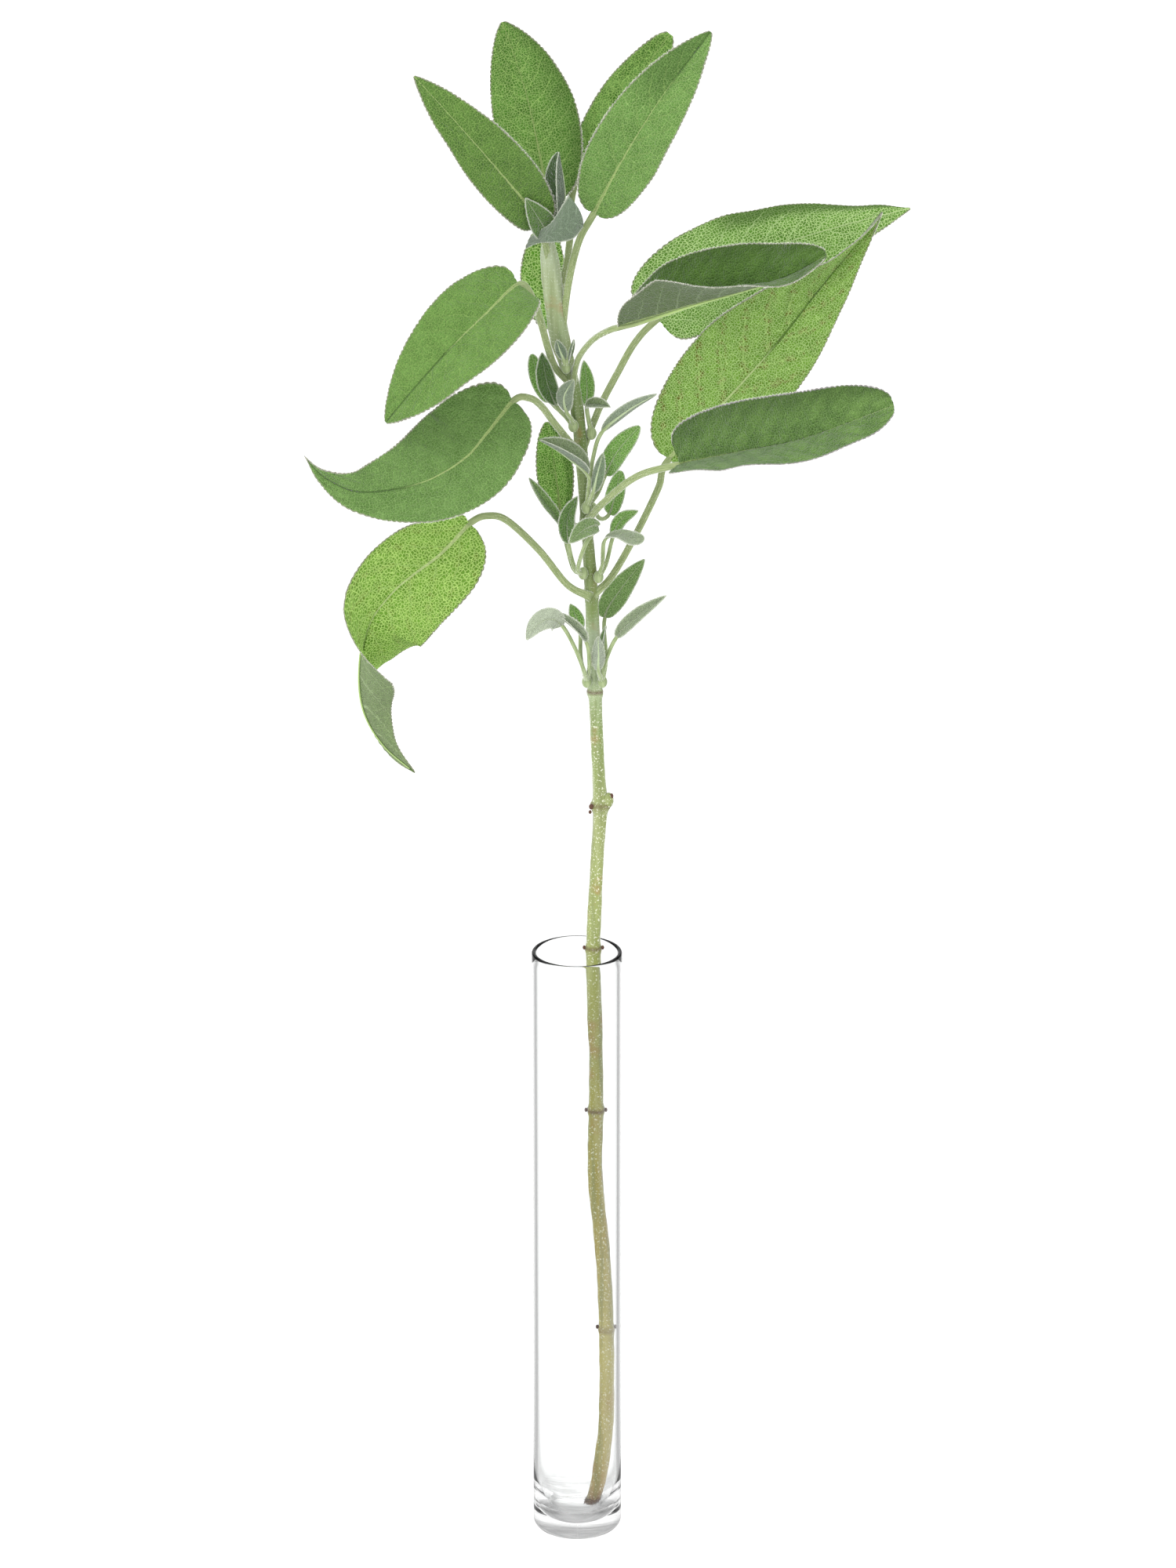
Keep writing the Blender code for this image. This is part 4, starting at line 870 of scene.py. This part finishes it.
WOOL = wool_material()
STALK = stalk_material("leaf stalk", (112, 130, 76), (146, 158, 112), (150, 174, 104))
YOUNG_STALK = stalk_material("young leaf stalk", (116, 134, 84), (152, 166, 122), (156, 172, 134))
GREEN = dict(cell=(104, 144, 66), deep=(84, 122, 52), net=(150, 184, 102), vein=(160, 190, 112),
             rib=(184, 206, 134), under=(140, 158, 122), edge=(172, 172, 156), line=0.2)
BACKLIT = dict(GREEN, cell=(100, 148, 58), deep=(82, 128, 44), net=(186, 222, 130), vein=(190, 222, 136),
               netting=0.85, coarse=0.7, veining=0.7, through=0.6, sheen=0.15)
LEAF_LOOKS = {
    "leaf_top_left": dict(GREEN, netting=0.7, coarse=0.3, veining=0.3),
    "leaf_top_back": dict(BACKLIT, cell=(114, 164, 74), net=(192, 222, 140), deep=(94, 138, 58), coarse=0.4,
                          shadow=(0.1, 1.2, 0.6, -10)),
    "leaf_top_right": dict(GREEN, cell=(120, 164, 84), deep=(102, 144, 68), net=(174, 206, 130), netting=0.6,
                           coarse=0.35, veining=0.5, vein_shade=0.2, fade=(32, 40),
                           shadow=(0.3, -0.2, 0.5, 26)),
    "leaf_top_back_right": dict(BACKLIT, cell=(136, 180, 96)),
    "leaf_upper_left": dict(GREEN, cell=(122, 164, 84), deep=(104, 144, 68), netting=0.65, coarse=0.3,
                            veining=0.3, fade=(20, 27)),
    "leaf_upper_behind": dict(BACKLIT, cell=(116, 172, 62), net=(222, 250, 166), size=0.75, line=0.22),
    "leaf_upper_right": dict(GREEN, cell=(96, 132, 58), deep=(76, 110, 46), net=(116, 152, 80), netting=0.5,
                             coarse=0.25, veining=0.3, vein=(116, 150, 80), under=(118, 138, 94), sheen=0.45,
                             shadow=(-0.45, -1.0, 0.5, -10)),
    "leaf_middle_left": dict(GREEN, cell=(120, 158, 86), deep=(98, 136, 66), net=(148, 182, 112),
                             netting=0.65, coarse=0.25, veining=0.35, vein=(150, 182, 114), through=0.4,
                             sheen=0.45, vein_shade=0.35, fade=(27, 36)),
    "leaf_middle_right": dict(BACKLIT, cell=(128, 176, 80), deep=(106, 152, 62), net=(226, 252, 180),
                              netting=1.0, vein=(220, 244, 182), rib=(214, 234, 176), vein_shade=0.2,
                              size=0.7, line=0.22, coarse=0.3, shadow=(-0.45, -0.85, 0.75, 20)),
    "leaf_low_right": dict(GREEN, cell=(120, 156, 82), deep=(88, 122, 60), net=(146, 180, 110), netting=0.6,
                           coarse=0.25, veining=0.3, vein=(138, 172, 102), sheen=0.5, edge=(178, 172, 176),
                           vein_shade=0.6, shadow=(-0.3, -1.0, 0.6, -10)),
    "leaf_low_behind": dict(BACKLIT, cell=(122, 178, 74), net=(214, 244, 158), size=0.6, coarse=0.4,
                            shadow=(0.45, 0.7, 0.5, -10)),
    "leaf_bottom_left": dict(BACKLIT, cell=(140, 188, 78), deep=(118, 162, 60), net=(214, 246, 148),
                             blotch=(150, 130, 70), blotching=0.3, vein_shade=0.45, size=0.72, line=0.25,
                             netting=1.0, under=(162, 174, 142), rib=(226, 240, 180), fade=(30, 40)),
    "leaf_bottom_right": dict(BACKLIT, cell=(138, 182, 80), deep=(112, 154, 60), net=(210, 240, 160),
                              coarse=0.4, blotch=(122, 108, 52), blotching=0.8, vein_shade=0.7,
                              under=(176, 184, 166), rib=(222, 238, 176), fade=(30, 40)),
}
YOUNG_LOOK = dict(GREEN, backlit_shaded_wool_tints=((126, 174, 84), (204, 230, 164), (66, 96, 52), (202, 210, 192)),
                  cell=(142, 160, 116), deep=(112, 136, 88), net=(172, 188, 148), vein=(186, 198, 164),
                  rib=(196, 206, 176), under=(140, 158, 134), edge=(214, 220, 204), coarse=0.4, size=0.6,
                  through=0.5, sheen=0.9)

# %% [markdown]
# ## Large leaves
# Thirteen full-grown leaves: blade, stalk and midrib, and hairs along the edges, all in
# one piece each, because on the plant nothing joins them.

# %% Make the large leaves
def dress(piece, node):
    """A piece that stands for a solid: hung on the root body, with the solid hidden."""
    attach(piece, "root")
    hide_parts(node)


def leaf_skins(shape, make, seed, tone):
    """Blade, stalk with midrib, and hairs."""
    blade, middle = blade_skin(shape, make, seed, tone)
    rib, rings = rib_skin(shape, make)
    return [blade, rib] + leaf_hairs(middle, rings, make)


for number, (name, shape) in enumerate(LEAVES.items()):
    material = leaf_material(name.replace("_", " "), **LEAF_LOOKS[name])
    piece = build("sage_" + name, leaf_skins(shape, LARGE, 1.7 * number, 0.0), [material, WOOL, STALK])
    dress(piece, name)

# %% [markdown]
# ## Young leaves
# The shoots in the axils are the same leaves, a few millimetres wide and closer to grey,
# as their hairs are as dense as a full-grown leaf's but on far less skin.  They spring
# from a small bud base on the stem.

# %% Make the shoots
GAP = 0.3               # clearance between a shoot's base and the stem, as in the solids
HEEL_RADIUS = 1.25
HEEL_SEAT = 0.75        # share of its radius by which a base stands off the stem
BUD_X = -6.4            # where the tip bud stands on the stem's top
GLOBE_END = 0.03        # angle left open at a ball's poles, which its end strips close
HOOD_LENGTH = 17.0
HOOD_HAIRS = 260


def stem_radius(z):
    """The table's radius at a height."""
    return np.interp(z, *np.transpose(STEM_RADII))


def heel_place(height, azimuth):
    """Centre of the bud base: out from the stem's axis by its radius, the clearance and
    a share of the base's own radius, or on the stem's tip."""
    if azimuth is None:
        return (BUD_X, 0, height)
    curve = smooth_curve(STEM_PATH)
    x, y, _ = read_rows(height, curve[:, 2], curve)
    reach = stem_radius(height) + GAP + HEEL_SEAT * HEEL_RADIUS
    turn = math.radians(azimuth)
    return (x + reach * math.cos(turn), y + reach * math.sin(turn), height)


def globe(centre, radius, squash=1.0, sides=16, slot=0, **marks):
    """Ball as rings: radius times sine and cosine of two angles, upwards by squash."""
    polar = np.linspace(GLOBE_END, np.pi - GLOBE_END, sides // 2)[:, None]
    turn = all_round(sides)
    rings = np.stack([np.sin(polar) * np.cos(turn), np.sin(polar) * -np.sin(turn),
                      -squash * np.cos(polar) + 0 * turn], -1) * radius + np.asarray(centre)
    place = paired(polar * radius, turn * radius)
    return skin(rings, ring_faces(len(polar), sides), place, slot=slot, **marks)


# The tone of each young leaf in the order of SHOOTS: -1 pale wool, 0 grey-green, 1 light
# green painted as if lit from behind, 2 deep green of painted shade.
SHOOT_TONES = {
    "shoot_ring_left": (-0.9, -0.4, 0.9), "shoot_ring_right": (-0.8, 1.6, -0.3, 0.5),
    "shoot_low_left": (0.3, 1.5, 0.5), "shoot_low_right": (0.9, -0.4),
    "shoot_mid_front": (-0.1, 1.0, 0.2, -0.3), "shoot_mid_behind": (0.9,),
    "shoot_high_left": (-0.3, 1.7, 0.9), "shoot_high_right": (1.1, 0.0),
    "shoot_top_front": (0.0, 1.7), "tip_bud": (1.9, 1.5)}


def hood_skins(edges, swell, thick):
    """Ruled surface between two edge curves, pushed to the front by swell * 4 v (1 - v)
    and out at its far end by swell * u^6 of the same, with hairs along both edges; the
    viewer sees its underside."""
    upper, lower = (smooth_curve(edge, 8) for edge in edges)
    v = eased(np.linspace(0, 1, 13))[None, :, None]
    u = np.linspace(0, 1, len(upper))[:, None, None]
    arch = 4 * v * (1 - v)
    push = arch * np.array([0, -1, 0.2]) * (0.4 + u) + 1.1 * arch * u ** 6 * np.array([1, 0.2, -0.2])
    middle = upper[:, None] * (1 - v) + lower[:, None] * v + swell * push
    normal = surface_normals(middle, np.array([0.0, -1, 0]))
    u, across = np.broadcast_arrays(u[..., 0], 2 * v[..., 0] - 1)
    wool = [skin(*hairs(middle[row, column], middle[row, column] - middle[row, inner], 0.5), slot=1)
            for column, inner in ((0, 2), (-1, -3)) for row in [chance.integers(0, len(upper), HOOD_HAIRS)]]
    blade = skin(both(middle + thick * normal, middle - thick * normal), ring_faces(len(u), 2 * v.shape[1]),
                 both(paired(u * HOOD_LENGTH, across * 4)), both(paired(vein_phase(u, across, 6), across)),
                 under=both(1 + 0 * u, 0 * u), rib=9.0, edge=both(3 * (1 - np.abs(across))))
    return [blade] + wool


YOUNG = leaf_material("young leaf", **YOUNG_LOOK)
for number, (name, (heel, leaves)) in enumerate(SHOOTS.items()):
    base = heel_place(*heel)
    skins = [globe(base, HEEL_RADIUS, 1.25, slot=2)]
    for order, shape in enumerate(leaves):
        rooted = dict(shape, stalk=[base] + shape["stalk"])
        skins += leaf_skins(rooted, SMALL, number + 0.6 * order, SHOOT_TONES[name][order])
    if name == "tip_bud":
        skins += hood_skins(HOOD, 1.0, 0.15)
    piece = build("sage_" + name, skins, [YOUNG, WOOL, YOUNG_STALK])
    dress(piece, name)

# %% [markdown]
# ## Stem
# Sage stems are softly four-sided, pale green and woolly above, olive and woodier below,
# with a swollen ring where each pair of leaves sits.  The cut end is frayed and brown.

# %% Make the stem
def bell(z, middle, reach):
    """exp(-x^2) of the distance from the middle, in units of reach."""
    return np.exp(-((z - middle) / reach) ** 2)


def stem_rings(rows, sides):
    """Rings round the stem's line: table radius, plus a bell-shaped swelling at each
    node, times 1 + k (|cos 2a| - 0.6) for the four soft ribs, slowly turning with height;
    k grows at the top, where the last stalks run down the stem side by side."""
    curve = smooth_curve(STEM_PATH)
    z = np.linspace(STEM_PATH[0][2], STEM_PATH[-1][2], rows)
    radius = stem_radius(z)
    for place, swelling in STEM_NODES:
        radius = radius + swelling * bell(z, place, NODE_SPREAD)
    turn = all_round(sides)
    lobes = np.interp(z, [290, 305], [0.07, 0.16])[:, None]
    ribbed = 1 + lobes * (np.abs(np.cos(2 * turn + z[:, None] / 90)) - 0.6)
    lumps = 0.05 * np.sin(z[:, None] / 2.3 + 3 * np.sin(turn)) + 0.04 * np.sin(z[:, None] / 0.9 + 5 * turn)
    size = radius[:, None] * ribbed * (1 + 0.5 * lumps)
    flat = np.stack([np.cos(turn) * size, -np.sin(turn) * size, 0 * size], -1)
    return read_rows(z, curve[:, 2], curve)[:, None, :] + flat, z, turn


STEM_TOP = 330
STEM_TINTS = [
    (0, (104, 58, 34)), (6.5, (122, 82, 50)), (11, (152, 128, 72)), (20, (160, 146, 68)),
    (45, (164, 154, 66)), (75, (154, 140, 54)), (110, (146, 142, 56)), (145, (132, 138, 60)),
    (158, (138, 148, 80)), (188, (128, 138, 78)), (210, (118, 136, 74)), (222, (144, 160, 120)),
    (234, (148, 162, 132)), (240, (104, 126, 62)), (262, (94, 112, 56)), (292, (94, 116, 54)),
    (304, (124, 142, 96)), (316, (138, 152, 112)), (330, (156, 168, 138))]
STEM_ROWS = 380
STEM_SIDES = 24
LEAF_SCARS = (53, 110.5, 152.5)     # heights where a pair of leaves has fallen
UPPER_SCAR = 189.5
RING_SCAR = 219.3
STEM_HAIRS = 9000


def stem_material():
    """Straw-coloured at the cut end, olive above and grey-green at the top, by height;
    streaked lengthwise, brown at scars, and speckled white low down, for its white hairs
    and painted glints of light on them."""
    material, tree, shader = new_material("sage stem")
    place = own_place(tree)
    height = axis(tree, place, 2)
    ramp = put(tree, "ValToRGB", {0: times(tree, height, 1000 / STEM_TOP)})
    stops = ramp.color_ramp.elements
    for at, tint in STEM_TINTS[1:-1]:
        stops.new(at / STEM_TOP)
    for stop, (at, tint) in zip(stops, STEM_TINTS):
        stop.position, stop.color = at / STEM_TOP, colour(*tint)
    streaks = stretched(tree, place, (900, 900, 45))
    streak = step(tree, noise(tree, streaks, 1.0, 3.0), 0.35, 0.7)
    dark = step(tree, noise(tree, streaks, 0.6, 2.0), 0.45, 0.65)
    warm = step(tree, noise(tree, place, 160.0, 3.0), 0.55, 0.72)
    # Painted glints: white flecks low on the stem, for its white hairs and the light that glints on them.
    hair_flecks_and_glints = step(tree, noise(tree, place, 2200.0, 1.0), 0.6, 0.68)
    low = step(tree, height, 0.2, 0.24, 0.6, 0.0)
    patchy = step(tree, noise(tree, place, 700.0, 2.0), 0.25, 0.4)
    shade = ramp.outputs[0]
    for tint, mask, amount in (((214, 218, 192), streak, 0.15), ((108, 118, 66), dark, 0.5),
                               ((150, 104, 58), warm, 0.45), ((228, 230, 212), hair_flecks_and_glints, low),
                               ((84, 52, 36), patchy, mark_of(tree, "tone"))):
        shade = paint(tree, shade, tint, mask, amount)
    bump = put(tree, "Bump", {"Strength": 0.5, "Distance": 0.0002, "Height": streak}).outputs[0]
    fill(tree, shader, {"Base Color": shade, "Roughness": step(tree, streak, 0, 1, 0.6, 0.82), "Normal": bump,
                        "Sheen Weight": 0.8, "Sheen Roughness": 0.3})
    return material


rings, z, turn = stem_rings(STEM_ROWS, STEM_SIDES)
brown = 0.9 * bell(z, RING_SCAR, 0.35) + 0.8 * bell(z, STEM_PATH[0][2], 2.0)
for scar in (*LEAF_SCARS, UPPER_SCAR):
    brown = brown + 0.85 * bell(z, scar + 0.3, 0.45)
skins = [skin(rings, ring_faces(STEM_ROWS, STEM_SIDES), paired(z[:, None], turn),
              tone=np.broadcast_to(brown[:, None], rings.shape[:2]))]
# The upper scar's swollen base with its dried bud, and the dry stubs: centre, radius,
# how much taller than wide, and how brown.
for centre, radius, tall, dark in (((7.6, 4.4, 191.2), 1.3, 1.5, 0.0), ((8.4, 4.0, 192.4), 0.45, 1.6, 1.0),
                                   ((3.5, 3.4, 189.9), 0.6, 1.2, 1.0), ((3.2, 3.2, 188.6), 0.4, 1.2, 1.0)):
    skins.append(globe(centre, radius, tall, tone=dark))
for scar in LEAF_SCARS:
    row = int(np.argmin(np.abs(z - scar - 0.4)))
    for side in (0, STEM_SIDES // 2):
        stub = rings[row, side] + 0.25 * unit(rings[row, side] - rings[row].mean(0))
        skins.append(globe(stub - [0, 0.4, 0], 0.42, 1.4, 10, tone=1.0))
frayed = np.repeat(rings[:3].reshape(-1, 3), 3, 0)
down = unit(frayed - rings[0].mean(0)) * 0.6 + [0, 0, -0.8]
skins.append(skin(*hairs(frayed - 0.1 * down, down, 1.1, 0.11, 0.6), tone=1.0))
row = chance.integers(0, STEM_ROWS, STEM_HAIRS)
side = chance.integers(0, STEM_SIDES, STEM_HAIRS)
outward = unit(rings[row, side] - rings[row].mean(1))
fluff = np.interp(z[row], [150, 180, 250], [0.15, 0.35, 0.6])
skins.append(skin(*hairs(rings[row, side] - 0.05 * outward, outward, fluff), slot=1))
stem = build("sage_stem", skins, [stem_material(), WOOL])
dress(stem, "stem")

# %% [markdown]
# ## Glass tube vase
# A plain tube of clear glass with a melted rim and a thick bottom.  It is turned: one
# half section goes round the axis.  The section is finer than the solid's, so that the
# rim and the bottom of the hollow bend the light in smooth lines.

# %% Make the vase
VASE_SIDES = 128
AXIS_HOLE = 0.02        # radius of the first and the last ring, which end strips close
STRAIGHT_END = 3.0      # how far below the rim the straight wall ends


def vase_section():
    """From the middle of the hollow's floor up the inner wall, over the half-round rim,
    down the outside and round the foot to the middle of the bottom.  The hollow's floor
    is the curve r^3 + h^3 = 1."""
    hollow, shoulder = VASE_RADIUS - WALL, VASE_HEIGHT - STRAIGHT_END
    r = hollow * np.sin(np.radians(np.linspace(2, 90, 36)))
    depth = (1 - np.clip(r / hollow, 0, 1) ** HOLLOW_POWER) ** (1 / HOLLOW_POWER)
    inner = np.stack([r, FLOOR + HOLLOW_ROUND * (1 - depth)], -1)
    wall = paired(hollow, np.linspace(FLOOR + HOLLOW_ROUND, shoulder, 9)[1:])
    lip, a = WALL / 2, np.radians(np.linspace(180, 0, 17))
    rim = np.stack([VASE_RADIUS - lip + lip * np.cos(a), VASE_HEIGHT - lip + lip * np.sin(a)], -1)
    outside = paired(VASE_RADIUS, np.linspace(shoulder, FOOT_ROUND + 1, 8))
    b = np.radians(np.linspace(0, -90, 13))
    foot = np.stack([VASE_RADIUS - FOOT_ROUND * (1 - np.cos(b)), FOOT_ROUND * (1 + np.sin(b))], -1)
    return np.vstack([[(AXIS_HOLE, FLOOR)], inner, wall, rim, outside, foot, [(AXIS_HOLE, 0.0)]])


def glass_material():
    """Clear glass, colourless in the wall, with the faintest smears in its polish."""
    material, tree, shader = new_material("clear glass")
    long = stretched(tree, own_place(tree), (60, 60, 9))
    tint = paint(tree, (0.965, 0.975, 0.972, 1), (0.99, 0.995, 0.993, 1), noise(tree, long, 1.0))
    fill(tree, shader, {"Base Color": tint, "Transmission Weight": 1.0, "IOR": 1.48,
                        "Roughness": step(tree, noise(tree, long, 2.5, 3.0), 0.3, 0.8, 0.0, 0.02)})
    return material


section = vase_section()
turn = all_round(VASE_SIDES)
across, up = section[:, :1], section[:, 1:]
rings = np.stack([across * np.cos(turn), -across * np.sin(turn), up + 0 * turn], -1)
tube_skin = skin(rings, ring_faces(len(section), VASE_SIDES), paired(up, turn * VASE_RADIUS))
vase = build("glass_tube", [tube_skin], [glass_material()])
dress(vase, "vase")

# %% [markdown]
# ## Table, light and view
# The sprig stands on a plain white table before white.  Glass shows only by what it
# bends, so the surroundings have soft darker bands at the four diagonals: the wall's
# edges pick them up, while straight through the tube there is white.

# %% Floor and light
WHITE = (1, 1, 1, 1)


def diagonal_bands():
    """1 along the four axes and 0 at the diagonals, by |x^2 - y^2| / (x^2 + y^2), which
    is |cos 2a| of the compass angle a."""
    group, given, end = new_group("diagonal bands", [("Place", "Vector", None)], ["White"])
    sides = [axis(group, given[0], k) for k in (0, 1)]
    squares = [times(group, side, side) for side in sides]
    gap = sums(group, "ABSOLUTE", sums(group, "SUBTRACT", *squares))
    ratio = sums(group, "DIVIDE", gap, sums(group, "MAXIMUM", sums(group, "ADD", *squares), 0.000001))
    fill(group, end, {0: step(group, ratio, 0.3, 0.8)})
    return group


BANDS = diagonal_bands()


def by_ray(tree, in_glass, even, seen):
    """One strength for mirrored and bent rays, which show it in glass, one for light that
    a matt surface scatters, and one for the camera."""
    path = put(tree, "LightPath").outputs
    once = sums(tree, "MINIMUM", path["Diffuse Depth"], 1.0)
    scattered = sums(tree, "MAXIMUM", path["Is Diffuse Ray"], once)
    return mix(tree, path["Is Camera Ray"], mix(tree, scattered, in_glass, even), seen)


def white_floor(reach):
    """Seen straight, it is white.  In glass it darkens at the diagonals and, in streaks,
    under the front and sides of the foot, which shade it; other light from it is an even
    soft white."""
    mesh = bpy.data.meshes.new("floor")
    mesh.from_pydata([(-reach, -reach, 0), (reach, -reach, 0), (reach, reach, 0), (-reach, reach, 0)], [],
                     [(0, 1, 2, 3)])
    material, tree, shader = new_material("white table")
    place = own_place(tree)
    bands = put(tree, "Group", {0: place}, node_tree=BANDS).outputs[0]
    away = put(tree, "VectorMath", {0: place}, operation="LENGTH").outputs["Value"]
    streaks = noise(tree, stretched(tree, place, (120, 700, 1)), 1.0, 2.0)
    foot = times(tree, step(tree, axis(tree, place, 1), 0.0, 0.005, 0.38, 0.95),
                 step(tree, sums(tree, "ABSOLUTE", axis(tree, place, 0)), 0.005, 0.0095, 1.0, 0.55))
    foot = times(tree, foot, step(tree, streaks, 0.35, 0.65, 0.8, 1.15))
    in_glass = mix(tree, step(tree, away, 0.014, 0.03), foot, step(tree, bands, 0, 1, 0.38, 1.0))
    fill(tree, shader, {"Base Color": (0.1, 0.1, 0.1, 1), "Emission Color": WHITE,
                        "Emission Strength": by_ray(tree, in_glass, even=1.7, seen=1.0)})
    mesh.materials.append(material)
    new_object("floor", mesh)


def surroundings():
    """White to the camera and as soft light; in glass they fall to grey at the diagonals
    and, in streaks, low down, where the thick bottom looks."""
    world = bpy.data.worlds.new("studio")
    world.use_nodes = True
    bpy.context.scene.world = world
    tree = world.node_tree
    tree.nodes.clear()
    way = put(tree, "TexCoord").outputs["Generated"]
    bands = put(tree, "Group", {0: way}, node_tree=BANDS).outputs[0]
    rise = axis(tree, way, 2)
    streaks = noise(tree, stretched(tree, way, (2, 2, 30)), 1.0, 2.0)
    grey = times(tree, step(tree, rise, 0.02, 0.12), step(tree, rise, 0.5, 0.7, 1.0, 0.0))
    grey = times(tree, grey, step(tree, streaks, 0.35, 0.65, 0.3, 0.55))
    in_glass = sums(tree, "SUBTRACT", step(tree, bands, 0, 1, 0.5, 1.0), grey)
    back = put(tree, "Background", {0: WHITE, 1: by_ray(tree, in_glass, even=1.36, seen=1.05)})
    put(tree, "OutputWorld", {0: back.outputs[0]})


def soft_light(name, place, aim, size, power):
    """Square lamp at a place, turned to its aim, both in metres."""
    light = bpy.data.lights.new(name, "AREA")
    light.size = size
    light.energy = power
    lamp = new_object(name, light)
    lamp.location = place
    lamp.rotation_euler = (Vector(aim) - Vector(place)).to_track_quat("-Z", "Y").to_euler()


white_floor(3)
surroundings()
soft_light("key", (-0.5, -0.7, 1.1), (0, 0, 0.27), 0.5, 7.0)

# %% Camera
camera_data = bpy.data.cameras.new("camera")
camera_data.sensor_fit = "VERTICAL"
camera_data.sensor_height = 36
camera_data.lens = 123.4
camera = new_object("camera", camera_data)
camera.location = (0.0027, -1.2185, 0.6212)
camera.rotation_euler = (math.radians(70.8), 0, 0)
bpy.context.scene.camera = camera
bpy.context.scene.view_settings.view_transform = "Standard"
